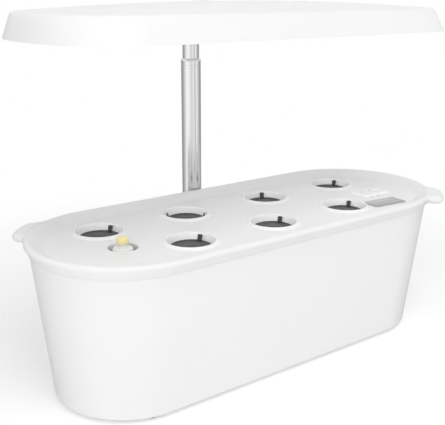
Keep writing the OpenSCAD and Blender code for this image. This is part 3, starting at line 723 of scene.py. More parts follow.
def make_world():
    """A white surround for the camera, and a soft studio for the light and for gloss."""
    world = bpy.data.worlds.new("studio")
    bpy.context.scene.world = world
    n = Nodes(world)
    n.tree.nodes.clear()
    about = n.add("TexCoord").outputs["Generated"]
    turn = (0.0, 0.0, CAMERA_TURN + math.pi / 2)
    facing = n.add("Mapping", {"Vector": about, "Rotation": turn}, vector_type="POINT").outputs["Vector"]
    compass = n.add("TexGradient", {"Vector": facing}, gradient_type="RADIAL").outputs["Fac"]
    walls = n.ramp(compass, [((a + 180.0) / 360.0, (v, v, v)) for a, v in STUDIO_WALLS])
    gloss = n.blend(n.span(n.height(about), *HORIZON), walls, PURE_WHITE)
    dome = n.add("Background", {"Color": PURE_WHITE, "Strength": DOME_LIGHT})
    mirrored = n.add("Background", {"Color": gloss})
    surround = n.add("Background", {"Color": PURE_WHITE})
    ray = n.add("LightPath").outputs
    lit = n.mix(ray["Is Glossy Ray"], dome, mirrored)
    seen = n.add("Math", {0: ray["Is Camera Ray"], 1: ray["Is Transmission Ray"]}, operation="MAXIMUM")
    final = n.mix(seen.outputs["Value"], lit, surround)
    n.add("OutputWorld", {"Surface": final.outputs["Shader"]})


LIT_PLACE = Vector((0.0, 0.0, 0.15))


def soft_box(name, at, size, watts):
    """A square soft light at a place, turned to the object; metres."""
    data = bpy.data.lights.new(name, "AREA")
    data.shape = "SQUARE"
    data.size = size
    data.energy = watts
    lamp = placed(name, data)
    lamp.location = at
    lamp.rotation_mode = "QUATERNION"
    lamp.rotation_quaternion = (LIT_PLACE - Vector(at)).to_track_quat("-Z", "Y")
    lamp.visible_glossy = False


FLOOR_HALF = 6.0
FLOOR_PAINT = (0.86, 0.86, 0.86, 1.0)
FLOOR_LIFT = 0.22
FLOOR_GLOW = 0.15
FLOOR_CLEAR = (0.30, 0.62)


def floor_finish():
    """Matt paint that glows a little, and more for the camera, which sees plain white further out."""
    mat = bpy.data.materials.new("floor_finish")
    n = Nodes(mat)
    n.tree.nodes.clear()
    paint = n.add("BsdfDiffuse", {"Color": FLOOR_PAINT}).outputs["BSDF"]
    glows = [n.add("Emission", {"Strength": glow}).outputs["Emission"] for glow in (FLOOR_LIFT, FLOOR_GLOW)]
    near, under = (n.add("AddShader", {0: paint, 1: glow}) for glow in glows)
    reach = n.add("VectorMath", {0: n.coords()}, operation="LENGTH").outputs["Value"]
    fade = n.span(reach, *FLOOR_CLEAR, interpolation_type="SMOOTHSTEP")
    shown = n.mix(fade, near, n.add("Emission"))
    final = n.mix(n.add("LightPath").outputs["Is Camera Ray"], under, shown)
    n.add("OutputMaterial", {"Surface": final.outputs["Shader"]})
    return mat


def make_floor():
    """A pale floor that takes the object's shadow and turns into the white surround further out."""
    mesh = bpy.data.meshes.new("floor")
    h = FLOOR_HALF
    mesh.from_pydata([(-h, -h, 0), (h, -h, 0), (h, h, 0), (-h, h, 0)], [], [(0, 1, 2, 3)])
    mesh.materials.append(floor_finish())
    floor = placed("floor", mesh)
    floor.visible_glossy = False


def make_studio():
    make_camera()
    make_world()
    soft_box("key", (-1.55, -1.5, 0.95), 1.5, 13.0)
    soft_box("high", (-0.2, -0.9, 2.0), 1.0, 12.0)
    soft_box("fill", (1.6, -1.0, 0.9), 1.4, 1.5)
    make_floor()
    bpy.context.scene.view_settings.view_transform = "Standard"


# ---------- tank


def wall_r(z):
    """Outer radius of the tank's wall at a height."""
    return BASE_R + WALL_SLOPE * (z - TANK_BOTTOM_Z)


def tank_section():
    """The tank's section from under its base ring, up the outside, and down inside to the floor."""
    floor_r = wall_r(TANK_FLOOR_Z) - WALL
    bore = RING_R - RING_W
    points = [(bore - 1.0, TANK_BOTTOM_Z), (bore, TANK_BOTTOM_Z), (bore, RING_BOTTOM_Z)]
    points += [(RING_R, RING_BOTTOM_Z), (RING_R, TANK_BOTTOM_Z), (BASE_R, TANK_BOTTOM_Z)]
    points += [(TANK_TOP_R, SEAM_Z), (TANK_TOP_R - WALL, SEAM_Z)]
    points += shifted(floor_r, TANK_FLOOR_Z, (0.0, 0.0), (-12.0, 0.0), (-13.0, 0.0))
    return softened(points, [0, 0, 0.5, 0.5, 0, 2.2, 0.45, 0.45, 5.0, 0, 0])


def make_tank():
    """The tank's shell with the bosses for the housing's screws."""
    bm = bmesh.new()
    rings = loft(bm, [oval(r, z) for r, z in tank_section()])
    fill(bm, rings[:1], rings[-1:])
    for x, z in HOUSING_FASTENERS:
        root = wall_r(z) - BOSS_SINK
        reach = HOUSING_BACK_Y - HOUSING_T - root
        boss = rod([(0, 0), (BOSS_R, 0), (BOSS_R, reach), (0, reach)], PIN_CIRCLE)
        set_in(bm, boss, Matrix.Translation((x, root, z)) @ OUTWARDS)
    piece("tank_shell", bm, "white_shell", "base", "tank")


# ---------- screws

SCREW_R = 1.45
SCREW_HEAD_R = 2.7
SCREW_HEAD_H = 1.4
CROSS_REACH = 1.35
CROSS_HALF = 0.34
SCREWS = {
    "housing_screws": ("base", 12.0, HOUSING_FASTENERS),
    "hub_screws": ("lamp", 7.0, HUB_FASTENERS),
    "lamp_screws": ("lamp", 11.0, LAMP_FASTENERS),
    "tub_screws": ("deck_unit", 9.8, TUB_FASTENERS),
}


def cross_ring(share, z):
    """The outline of a cross recess at one height."""
    reach, half = CROSS_REACH * share, CROSS_HALF * share
    quarter = [Vector((reach, -half, z)), Vector((reach, half, z)), Vector((half, half, z))]
    turns = [Matrix.Rotation(math.radians(a), 3, "Z") for a in (0, 90, 180, 270)]
    return [turn @ p for turn in turns for p in quarter]


def screw(length):
    """A pan-head screw with a cross recess, its head's face at height 0 and its shank pointing up."""
    tip = SCREW_HEAD_H + length
    section = shifted(SCREW_HEAD_R, 0.0, (-0.95, 0.0), (-0.5, 0.1), (-0.15, 0.38), (0.0, 0.75))
    section += [(SCREW_HEAD_R, SCREW_HEAD_H), (SCREW_R, SCREW_HEAD_H)]
    section += [(SCREW_R, tip - 1.0), (0.5, tip), (0, tip)]
    bm = bmesh.new()
    rings = lathe(bm, (0.0, 0.0), section, PIN_CIRCLE)
    recess = loft(bm, [cross_ring(1.0, 0.0), cross_ring(0.55, 0.85)])
    fill(bm, [rings[0], recess[0]], recess[1:])
    return bm


def make_screws():
    """The four groups of screws, each in its node's place."""
    for node, (body, length, places) in SCREWS.items():
        bm = bmesh.new()
        for i, (x, y) in enumerate(places):
            at = Matrix.Translation((x, y, foot_of(node)))
            if node == "housing_screws":
                at = Matrix.Translation((x, HOUSING_BACK_Y + SCREW_HEAD_H, y)) @ INWARDS
            set_in(bm, screw(length), at @ Matrix.Rotation(math.radians(23.0 + 37.0 * i), 4, "Z"))
        piece(node.replace("_screws", "_cross_screws"), bm, "screw_steel", body, node)


# ---------- behind and under the tank


def housing_ring(z, inset):
    """The housing's plan outline at one height: along the tank's wall and round behind it."""
    half, back, corner = HOUSING_HALF - inset, HOUSING_BACK_Y - inset, HOUSING_CORNER - inset
    right = arc(MAST[0] + half - corner, back - corner, corner, 0.0, 90.0, 10)
    left = arc(MAST[0] - half + corner, back - corner, corner, 90.0, 180.0, 10)
    front = wall_r(z) + HOUSING_GAP
    return [(x, y, z) for x, y in [(MAST[0] + half, front)] + right + left + [(MAST[0] - half, front)]]


def make_housing():
    """The mast's housing, closed against the tank's slanted wall, with a rounded top edge."""
    bm = bmesh.new()
    rings = [housing_ring(TANK_BOTTOM_Z + up, inset) for up, inset in ((0.0, 0.9), (0.3, 0.3), (0.9, 0.0))]
    rings += [housing_ring(z, 0.0) for z in (25.0, 50.0, 75.0, 100.0)]
    edge = arc(-HOUSING_EDGE, HOUSING_TOP_Z - HOUSING_EDGE, HOUSING_EDGE, 0.0, 90.0, 8)
    rings += [housing_ring(z, -x) for x, z in edge]
    made = loft(bm, rings)
    neck = TUBE_R + GROMMET_NECK
    top = loft(bm, [circle(MAST, neck, HOUSING_TOP_Z - down) for down in (0.0, HOUSING_T)])
    bottom = loft(bm, [circle(MAST, MAST_FOOT_R, TANK_BOTTOM_Z + up) for up in (0.0, HOUSING_T)])
    fill(bm, [made[-1], top[0]], [made[0], bottom[0]])
    piece("housing_shell", bm, "white_shell", "base", "mast_housing")


def make_grommet():
    """The soft ring where the mast leaves its housing."""
    foot = shifted(TUBE_R, HOUSING_TOP_Z - HOUSING_T, (0.02, 0.0), (GROMMET_NECK, 0.0))
    brim = [(GROMMET_NECK, 0.0), (3.5, 0.0), (3.5, 0.7), (3.1, 1.1), (2.4, 1.2), (0.9, 1.2), (0.02, 0.5)]
    section = foot + shifted(TUBE_R, HOUSING_TOP_Z, *brim) + foot[:1]
    turned("grommet_ring", MAST, section, CIRCLE, "grey_trim", "base", "mast_grommet")


def make_inlet():
    """The low-voltage socket: a bezel on the housing's back, its bore, and the pin in the bore."""
    x, y = place_of("dc_inlet")
    z = middle("dc_inlet").z / MM
    place = Matrix.Translation((x, HOUSING_BACK_Y, z)) @ OUTWARDS
    bore, body, bezel = 2.8, 5.5, 7.0
    section = [(0, -10.0), (bore, -10.0), (bore, 0.4), (bore + 0.35, 0.8), (bezel - 0.5, 0.8)]
    section += [(bezel - 0.1, 0.6), (bezel, 0.2), (bezel, 0.0), (body, 0.0), (body, -12.9), (0, -12.9)]
    socket = moved(rod(section, SMALL_CIRCLE), place)
    piece("inlet_socket", socket, "black_plastic", "base", "dc_inlet")
    section = [(0, -1.0), (0.6, -1.05), (0.9, -1.3), (1.0, -1.7), (1.0, -10.0), (0, -10.0)]
    piece("inlet_pin", moved(rod(section, TINY_CIRCLE), place), "screw_steel", "base")


def make_feet():
    """Four rubber feet, each with a groove in its sole."""
    reach = (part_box("feet")[1] - TANK_CENTRE) / MM
    x, y = reach.x - FOOT_R, reach.y - FOOT_R
    top = top_of("feet")
    section = [(0, top), (FOOT_R, top), (FOOT_R, 0.5), (FOOT_R - 0.2, 0.15), (FOOT_R - 0.6, 0.0)]
    section += shifted(SOLE_R, 0.0, (0.0, 0.0), (-0.2, 0.3), (-1.0, 0.3), (-1.2, 0.0)) + [(0, 0.0)]
    bm = bmesh.new()
    for at in grid((0.0, 0.0), (-x, x), (-y, y)):
        lathe(bm, at, section, SMALL_CIRCLE)
    piece("rubber_feet", bm, "soft_rubber", "base", "feet")


# ---------- planting deck


def lug_share(x, nx, ny):
    """How much of the finger lug a station has, from 0 to 1."""
    if abs(abs(x) - HALF_RUN) > WELD:
        return 0.0
    middle_angle = LUG_ANGLE if x < 0 else LUG_ANGLE - 180.0
    off = abs((math.degrees(math.atan2(ny, nx)) - middle_angle + 180.0) % 360.0 - 180.0)
    return smooth_step((LUG_HALF_DEG - off) / (LUG_HALF_DEG - LUG_FLAT_DEG))


def relief_share(x, ny):
    """How much of the rear relief a station has, from 0 to 1."""
    if ny < 0.999:
        return 0.0
    return smooth_step((RELIEF_HALF + RELIEF_EASE - abs(x)) / RELIEF_EASE)


def rim_sections():
    """Two matching sections of the rim, plain and through a lug, from the floor out and back under."""
    crest = (RIM_R - CREST_R, RIM_Z - CREST_R)
    plate_edge, floor_edge, skirt = (PLATE_R, FLOOR_Z), (FLOOR_EDGE_R, FLOOR_Z), (SKIRT_R, SEAM_Z)
    climb = arc(*crest, CREST_R, touch(crest, CREST_R, floor_edge, -1) % 360.0, 90.0, 4)
    inside = [plate_edge] + soft_corner(plate_edge, floor_edge, climb[0], FLOOR_EASE, 6)
    inside += line(inside[-1], climb[0], 4) + climb

    over = arc(*crest, CREST_R, 90.0, 0.0, 12)[1:]
    over += arc(*crest, CREST_R, 0.0, touch(crest, CREST_R, skirt, 1), 5)[1:]
    over += line(over[-1], skirt, 6) + shifted(*skirt, (0.2, 0.5))

    tip_r = (LUG_TOP_Z - LUG_BOTTOM_Z) / 2.0
    tip = (RIM_R + LUG_REACH - tip_r, LUG_BOTTOM_Z + tip_r)
    lug = shifted(RIM_R, RIM_Z, (-1.9, -0.15), (-0.6, -0.45), (0.9, -0.8), (3.0, LUG_TOP_Z - RIM_Z))
    lug += line(lug[-1], (tip[0], LUG_TOP_Z), 3)
    lug += arc(*tip, tip_r, 90.0, 0.0, 5) + arc(*tip, tip_r, 0.0, -90.0, 5)[1:]
    lug += shifted(RIM_R, LUG_BOTTOM_Z, (4.0, 0.0), (-0.5, -0.05), (-2.5, -0.35), (-3.4, -0.8))
    lug += shifted(*skirt, (0.4, 0.9), (0.2, 0.5))

    under = shifted(*skirt, (-0.3, 0.0), (-2.1, 0.0), (-2.4, 0.3))
    under += shifted(RIM_R, SEAM_Z, (-4.6, 4.0), (-6.5, 7.2), (-8.3, 6.4))
    # The rib that centres the deck in the tank
    under += shifted(RIM_R, SEAM_Z, (-8.3, -5.7), (-8.6, -6.0), (-10.0, -6.0), (-10.3, -5.7), (-10.3, 5.4))
    under += [(RIM_R - 13.9, UNDER_Z), (PLATE_R, UNDER_Z)]
    return inside + over + under, inside + lug + under


def rim_rings():
    """The rim's rings round the oval, with the lugs and the rear relief in them."""
    rings = []
    for (r0, z0), (r1, z1) in zip(*rim_sections()):
        ring = []
        for x, nx, ny in STATIONS:
            share = lug_share(x, nx, ny)
            r = r0 + (r1 - r0) * share
            r -= max(r - (RIM_R - RELIEF), 0.0) * relief_share(x, ny)
            ring.append((x + r * nx, r * ny, z0 + (z1 - z0) * share))
        rings.append(ring)
    return rings


def well_section():
    """A well's section: flat floor, eased lip, wall, the cup's ledge, and the wall's outside."""
    lip_z = FLOOR_Z + LIP_H
    outer = WELL_R + LIP_W
    ledge_z = SEAT_Z - LEDGE_T
    climb = (0.0, 0.12, 0.25, 0.38, 0.5, 0.62, 0.75, 0.88, 1.0)
    section = [(outer + LIP_EASE, FLOOR_Z)]
    section += [(outer - LIP_RISE * t, FLOOR_Z + LIP_H * smooth_step(t)) for t in climb]
    section += arc(WELL_R + LIP_SLANT + 1.0, lip_z - 1.0, 1.0, 90.0, 170.0, 6)
    wall = [(WELL_R - 0.2, CUP_TOP_Z), (WELL_R - 0.2, SEAT_Z), (WELL_R - LEDGE_W, SEAT_Z)]
    wall += [(WELL_R - LEDGE_W, ledge_z), (WELL_R, ledge_z), (WELL_R, WELL_BOTTOM_Z)]
    wall += [(WELL_R + WELL_WALL, WELL_BOTTOM_Z), (WELL_R + WELL_WALL, UNDER_Z)]
    return section + softened(wall, [0, 0, 0.3, 0, 0, 0.4, 0.4, 0])


FLOAT = place_of("float_body")
FLOAT_HOLE_R = 12.2
WINDOW_SIZE = (39.4, 20.0)
WINDOW_CORNER = 2.0
WINDOW_DEPTH = 1.0
WINDOW_TURN = -6.0
PAD_SIZE = (34.0, 24.0)
PAD_CORNER = 3.0
PAD_DEPTH = 0.4
PLATE_GAP = 0.2
BUTTON_R = 4.6
BUTTON_GAP = 0.3
BUTTON_HOLE_R = BUTTON_R + BUTTON_GAP
LIGHT_R = 1.5
BUTTONS = {"light_button": "light_key", "pump_button": "pump_key"}
LIGHTS = {"status_light_green": "light_green", "status_light_blue": "light_blue"}


def pocket(bm, node, size, corner, depth, turn=0.0):
    """A shallow pocket in the deck's floor for a plate; returns its upper and lower ring."""
    levels = (FLOOR_Z, FLOOR_Z - depth)
    return loft(bm, [rounded_rectangle(place_of(node), size, corner, z, turn=turn) for z in levels])


def float_collar():
    """The section of the low collar round the float's hole."""
    r = FLOAT_HOLE_R
    collar = shifted(r, FLOOR_Z, (3.0, 0.0), (2.4, 0.0), (1.9, 0.3), (1.3, 0.5))
    return collar + arc(r + 0.7, FLOOR_Z - 0.2, 0.7, 90.0, 180.0, 5) + [(r, UNDER_Z)]


def make_deck():
    """The deck's shell: rim, floor with its holes and pockets, and the posts for the tub's screws."""
    bm = bmesh.new()
    rim = loft(bm, rim_rings())
    upper, lower = [rim[0]], [rim[-1]]
    wells = bmesh.new()
    section = well_section()
    for i in range(CUP_COUNT):
        at = place_of(f"net_cup_{i + 1}")
        lathe(wells, at, section)
        upper.append(add_ring(bm, circle(at, *section[0])))
        lower.append(add_ring(bm, circle(at, *section[-1])))
    # The well rings take the lighter white with the painted glow, which brightens their shaded inner walls
    piece("well_rings", wells, "white_shell", "deck_unit", finish="well_white")
    hole(bm, FLOAT, float_collar(), CIRCLE, upper, lower)
    for light in LIGHTS:
        hole(bm, place_of(light), [(LIGHT_R, FLOOR_Z), (LIGHT_R, UNDER_Z)], PIN_CIRCLE, upper, lower)
    window = pocket(bm, "display_window", WINDOW_SIZE, WINDOW_CORNER, WINDOW_DEPTH, WINDOW_TURN)
    upper.append(window[0])
    fill(bm, window[1:])
    pad = pocket(bm, "control_pad", PAD_SIZE, PAD_CORNER, PAD_DEPTH)
    upper.append(pad[0])
    pad_floor = [pad[1]]
    for button in BUTTONS:
        section = [(BUTTON_HOLE_R, FLOOR_Z - PAD_DEPTH), (BUTTON_HOLE_R, UNDER_Z)]
        hole(bm, place_of(button), section, SMALL_CIRCLE, pad_floor, lower)
    fill(bm, pad_floor, upper, lower)
    post_top, post_foot = UNDER_Z + 0.5, foot_of("control_tub") + TUB_FLOOR_T
    for at in TUB_FASTENERS:
        lathe(bm, at, [(0, post_top), (POST_R, post_top), (POST_R, post_foot), (0, post_foot)], PIN_CIRCLE)
    piece("deck_shell", bm, "white_shell", "deck_unit", "deck", angle=38.0)


def plate(bm, node, size, corner, edge, turn=0.0):
    """A plate that lies in a pocket, with a rounded upper edge; returns its rings."""
    at, high = place_of(node), top_of(node)
    size = [s - PLATE_GAP for s in size]
    rings = [rounded_rectangle(at, size, corner, foot_of(node), turn=turn)]
    for inset, drop in ((0.0, 1.0), (0.13, 0.5), (0.5, 0.13), (1.0, 0.0)):
        inner = [s - 2 * inset * edge for s in size]
        r = max(corner - inset * edge, 0.3)
        rings.append(rounded_rectangle(at, inner, r, high - drop * edge, turn=turn))
    return loft(bm, rings)


def make_window():
    """The display's window, which lies at a slant."""
    bm = bmesh.new()
    rings = plate(bm, "display_window", WINDOW_SIZE, WINDOW_CORNER, 0.35, WINDOW_TURN)
    fill(bm, rings[:1], rings[-1:])
    piece("window_pane", bm, "smoked_window", "deck_unit", "display_window")


def make_pad():
    """The pad round the two buttons."""
    bm = bmesh.new()
    rings = plate(bm, "control_pad", PAD_SIZE, PAD_CORNER, 0.6)
    upper, lower = [rings[-1]], [rings[0]]
    section = shifted(BUTTON_HOLE_R, top_of("control_pad"), (0.5, 0.0), (0.15, -0.12), (0.0, -0.4))
    section.append((BUTTON_HOLE_R, foot_of("control_pad")))
    for button in BUTTONS:
        hole(bm, place_of(button), section, SMALL_CIRCLE, upper, lower)
    fill(bm, upper, lower)
    # The pad takes the same lighter white with the painted glow on its upright edges
    piece("pad_plate", bm, "white_shell", "deck_unit", "control_pad", finish="well_white")


def make_buttons():
    """The two buttons, each with a dished face and a flange and stem under the deck."""
    for button, body in BUTTONS.items():
        low, high = foot_of(button), top_of(button)
        section = shifted(0.0, high, (0.0, -0.35), (1.4, -0.3), (2.6, -0.16), (3.5, -0.02), (3.9, 0.0))
        section += shifted(0.0, high, (4.25, -0.08), (4.5, -0.3), (BUTTON_R, -0.6))
        section += shifted(BUTTON_R, UNDER_Z, (0.0, -0.1), (0.8, -0.1), (0.8, -1.1), (-2.8, -1.1))
        section += [(BUTTON_R - 2.8, low), (0, low)]
        turned(button + "_cap", place_of(button), section, SMALL_CIRCLE, "button_white", body, button)


def make_lights():
    """The two small domed status lights."""
    for light, slot in LIGHTS.items():
        low, high = foot_of(light), top_of(light)
        section = shifted(0.0, high, (0.0, 0.0), (0.8, -0.06), (1.2, -0.18), (LIGHT_R, -0.4))
        section += [(LIGHT_R, low), (0, low)]
        turned(light + "_lens", place_of(light), section, PIN_CIRCLE, slot, "deck_unit", light)


# ---------- net cups

CUP_H = 46.0
CUP_TOP_R = 16.0
CUP_BOTTOM_R = 12.0
CUP_T = 1.2
CUP_HEEL = 1.8
CUP_FLANGE_R = 18.1
CUP_FLANGE_T = 1.4
CUP_SLOTS = 10
CUP_SECTORS = 8
CUP_COLUMNS = CUP_SECTORS * CUP_SLOTS
SLOT_TIERS = ((7.0, 21.0), (26.0, 40.0))
SLOT_HALF = 1.8
CUP_FLARE = 1.9
CUP_FLARE_DROP = 1.5
FLARE_H = CUP_FLARE_DROP + CUP_FLANGE_T
FLARE_START = math.asin(CUP_FLARE_DROP / FLARE_H)
EAR_H = 6.3
EAR_W = 4.0
EAR_T = 1.3
EAR_FOOT_R = 15.0
EAR_REACH = 1.55
DRAINS = [((0.0, 0.0), 2.5)] + [(polar(6.5, a), 1.8) for a in range(0, 360, 60)]
CUP_TURNS = (27.0, -36.0, 61.0, 29.0, 28.0, 28.0, 29.0)


def cup_column_angles():
    """Columns round a cup: four across every slot and four across every rib."""
    half_slot = math.degrees(2.0 * SLOT_HALF / (CUP_TOP_R + CUP_BOTTOM_R))
    half_rib = 180.0 / CUP_SLOTS - half_slot
    out = []
    for k in range(CUP_SLOTS):
        middle_angle = (k + 0.5) * 360.0 / CUP_SLOTS
        out += [middle_angle + half_slot * s for s in (-1.0, -0.72, 0.0, 0.72)]
        out += [middle_angle + half_slot + half_rib * s for s in (0.0, 0.3, 1.0, 1.7)]
    return out


def cup_rows():
    """Heights above the cup's bottom of its rows: close at the slots' ends."""
    rows = [CUP_HEEL]
    for low, high in SLOT_TIERS:
        rows += [low, low + 1.0, low + 2.0, (low + high) / 2, high - 2.0, high - 1.0, high]
    return rows + [CUP_H - 1.5, CUP_H]


CUP_ANGLES = cup_column_angles()
CUP_ROWS = cup_rows()


def cup_ring(bm, r, z):
    """A ring on the cup's own columns, at a height above its bottom."""
    return add_ring(bm, [(*polar(r, a), z - CUP_H) for a in CUP_ANGLES])


def flare(angle):
    """How far the flared mouth has opened at an angle of its curve."""
    return CUP_FLARE * (1.0 - math.cos(angle))


def cup_wall(bm, inset):
    """One face of the cup's slotted wall; returns its rows of vertices."""
    slope = (CUP_TOP_R - CUP_BOTTOM_R) / CUP_H
    radii = [CUP_BOTTOM_R + slope * z - inset for z in CUP_ROWS]
    if inset:
        radii[-1] += flare(FLARE_START)
    return [cup_ring(bm, r, z) for r, z in zip(radii, CUP_ROWS)]


def in_slot(row, column):
    """Whether a cell of the cup's wall is part of a slot."""
    z_low, z_high = CUP_ROWS[row], CUP_ROWS[row + 1]
    in_tier = any(low <= z_low and z_high <= high for low, high in SLOT_TIERS)
    return in_tier and column % CUP_SECTORS < 4


def slot_corner(row, column):
    """Whether a slot's cell is at its corner, where it is cut on the slant."""
    at_end = any(CUP_ROWS[row] == low or CUP_ROWS[row + 1] == high for low, high in SLOT_TIERS)
    return at_end and column % CUP_SECTORS in (0, 3)


def cup_mesh():
    """A net cup about its own axis with its flange's seat at height 0."""
    bm = bmesh.new()
    walls = outer, inner = cup_wall(bm, 0.0), cup_wall(bm, CUP_T)

    def across(i, j, m, n):
        """A face through the wall between two of its grid's places."""
        bm.faces.new((outer[i][j], outer[m][n], inner[m][n], inner[i][j]))

    for i in range(len(CUP_ROWS) - 1):
        for j in range(CUP_COLUMNS):
            k = (j + 1) % CUP_COLUMNS
            if not in_slot(i, j):
                for wall in walls:
                    bm.faces.new((wall[i][j], wall[i][k], wall[i + 1][k], wall[i + 1][j]))
            elif slot_corner(i, j):
                a, b = (j, k) if j % CUP_SECTORS == 0 else (k, j)
                near, far = (i + 1, i) if in_slot(i - 1, j) else (i, i + 1)
                for wall in walls:
                    bm.faces.new((wall[near][a], wall[near][b], wall[far][a]))
                across(near, b, far, a)
            else:
                left, right = ((i, j - 1), (i, j, i + 1, j)), ((i, k), (i, k, i + 1, k))
                foot, head = ((i - 1, j), (i, j, i, k)), ((i + 1, j), (i + 1, j, i + 1, k))
                for neighbour, edge in (left, right, foot, head):
                    if not in_slot(*neighbour):
                        across(*edge)
    cup_floor(bm, outer[0], inner[0])
    cup_flange(bm, outer[-1], inner[-1])
    for turn in (0.0, math.pi):
        set_in(bm, cup_ear(), Matrix.Rotation(turn, 4, "Z"))
    return bm


def cup_floor(bm, outer, inner):
    """The cup's floor with a soft outer edge, six drain holes round one in the middle."""
    edge = [cup_ring(bm, r, z) for r, z in ((CUP_BOTTOM_R - 0.35, 0.7), (CUP_BOTTOM_R - 1.2, 0.0))]
    bridge(bm, outer, edge[0])
    bridge(bm, edge[0], edge[1])
    inside = cup_ring(bm, CUP_BOTTOM_R - CUP_T - 0.5, CUP_T)
    bridge(bm, inner, inside)
    lower, upper = [edge[1]], [inside]
    for at, r in DRAINS:
        hole(bm, at, [(r, -CUP_H), (r, CUP_T - CUP_H)], DRAIN_CIRCLE, lower, upper)
    fill(bm, lower, upper)


def cup_flange(bm, outer, inner):
    """The flange that rests on the deck's ledge, and the flare down into the cup."""
    top = CUP_H + CUP_FLANGE_T
    profile = shifted(CUP_FLANGE_R, CUP_H, (-0.25, 0.0), (0.0, 0.25))
    profile += shifted(CUP_FLANGE_R, top, (0.0, -0.4), (-0.4, 0.0))
    for share in (1.0, 0.86, 0.72, 0.58, 0.44, 0.3, 0.15):
        a = FLARE_START + (math.pi / 2 - FLARE_START) * share
        profile.append((CUP_TOP_R - CUP_T + flare(a), top - FLARE_H * (1.0 - math.sin(a))))
    rings = [cup_ring(bm, r, z) for r, z in profile]
    for a, b in zip([outer] + rings, rings + [inner]):
        bridge(bm, a, b)


def cup_ear():
    """A lifting ear: a thin tab on the flange that leans outwards and widens at its tip."""
    bm = bmesh.new()
    bend = CUP_FLANGE_T + 0.6
    spine = [(0.0, -0.4, EAR_W + 0.7), (0.0, bend, EAR_W)]
    for up, wider in ((0.15, -0.1), (0.5, -0.1), (0.72, 0.4), (0.9, 0.3), (1.0, -1.0)):
        spine.append((EAR_REACH * up, bend + (EAR_H - bend) * up, EAR_W + wider))
    foot = EAR_FOOT_R + EAR_T / 2
    made = loft(bm, [rounded_rectangle((foot + out, 0.0), (EAR_T, w), 0.45, z, 3) for out, z, w in spine])
    fan(bm, made[0])
    fan(bm, made[-1])
    return bm


def make_cups():
    """The seven net cups in their wells, each turned its own way."""
    for i, turn in enumerate(CUP_TURNS):
        node = f"net_cup_{i + 1}"
        seat = Matrix.Translation((*place_of(node), SEAT_Z)) @ Matrix.Rotation(math.radians(turn), 4, "Z")
        piece(f"cup_{i + 1}_basket", moved(cup_mesh(), seat), "cup_grey", f"cup_{i + 1}", node, angle=40.0)


# ---------- level float

CAP_R = 8.6
CAP_Z = 129.0
CAP_TOP_Z = 133.9
NECK_R = 3.0
STEM_R = 2.0
BUOY_R = 10.8
BUOY_H = 24.0
TIP_R = 5.0


def make_float():
    """The float: a buoy, a stem and a domed cap in one, and the coloured knob on its neck."""
    buoy_z = foot_of("float_body")
    low, high = foot_of("float_tip"), top_of("float_tip")
    section = [(0, low), (NECK_R, low)]
    section += shifted(NECK_R, CAP_TOP_Z, (0.0, 0.6), (0.3, 0.15), (0.9, 0.0))
    section += shifted(CAP_R, CAP_TOP_Z, (-3.2, -0.1), (-1.8, -0.5), (-0.8, -1.1), (-0.2, -1.9), (0.0, -2.8))
    section += shifted(CAP_R, CAP_Z, (0.0, 0.3), (-0.3, 0.0)) + [(STEM_R, CAP_Z), (STEM_R, buoy_z + BUOY_H)]
    section += shifted(BUOY_R, buoy_z + BUOY_H, (-0.6, 0.0), (0.0, -0.6))
    section += shifted(BUOY_R, buoy_z, (0.0, 0.6), (-0.6, 0.0)) + [(0, buoy_z)]
    turned("float_stem", FLOAT, section, KNOB_CIRCLE, "float_white", "level_float", "float_body")
    section = [(0, low)] + shifted(TIP_R, low, (-0.5, 0.0), (-0.15, 0.2), (0.0, 0.7))
    section += shifted(TIP_R, high, (0.0, -2.0), (-0.2, -1.2), (-0.8, -0.5), (-1.8, -0.12), (-3.2, 0.0))
    section.append((0, high))
    turned("float_knob", FLOAT, section, KNOB_CIRCLE, "float_yellow", "level_float", "float_tip")


# ---------- mast

EDGE = 0.12


def make_mast():
    """The two polished tubes and the lower one's rounded collar."""
    foot, top = foot_of("lower_tube"), top_of("tube_collar")
    joint = top - COLLAR_H
    bore = TUBE_R - TUBE_T
    section = [(bore, foot), (TUBE_R, foot), (TUBE_R, joint - EDGE), (TUBE_R - EDGE, joint)]
    section += [(bore, joint), (bore, foot)]
    turned("lower_tube_drawn", MAST, section, CIRCLE, "polished_steel", "base", "lower_tube")

    bore = UPPER_TUBE_R + RUNNING_GAP
    lip = TUBE_R - bore - 0.15
    section = [(bore, joint), (TUBE_R - EDGE, joint), (TUBE_R, joint + EDGE)]
    section += [(TUBE_R - lip + r, top - LIP_ROUND + 2 * z) for r, z in arc(0.0, 0.0, lip, 0.0, 90.0, 10)]
    section += [(bore, top - 0.3), (bore, joint)]
    turned("collar_ring", MAST, section, CIRCLE, "polished_steel", "base", "tube_collar")

    foot, top = foot_of("upper_tube"), top_of("upper_tube")
    bore = UPPER_TUBE_R - TUBE_T
    section = [(bore, foot), (UPPER_TUBE_R, foot), (UPPER_TUBE_R, top), (bore, top), (bore, foot)]
    turned("upper_tube_drawn", MAST, section, CIRCLE, "polished_steel", "lamp", "upper_tube")


CABLE_R = 0.9
COIL_R = 3.55
COIL_TURNS = 90
COIL_STEPS = 14
CABLE_SIDES = 7


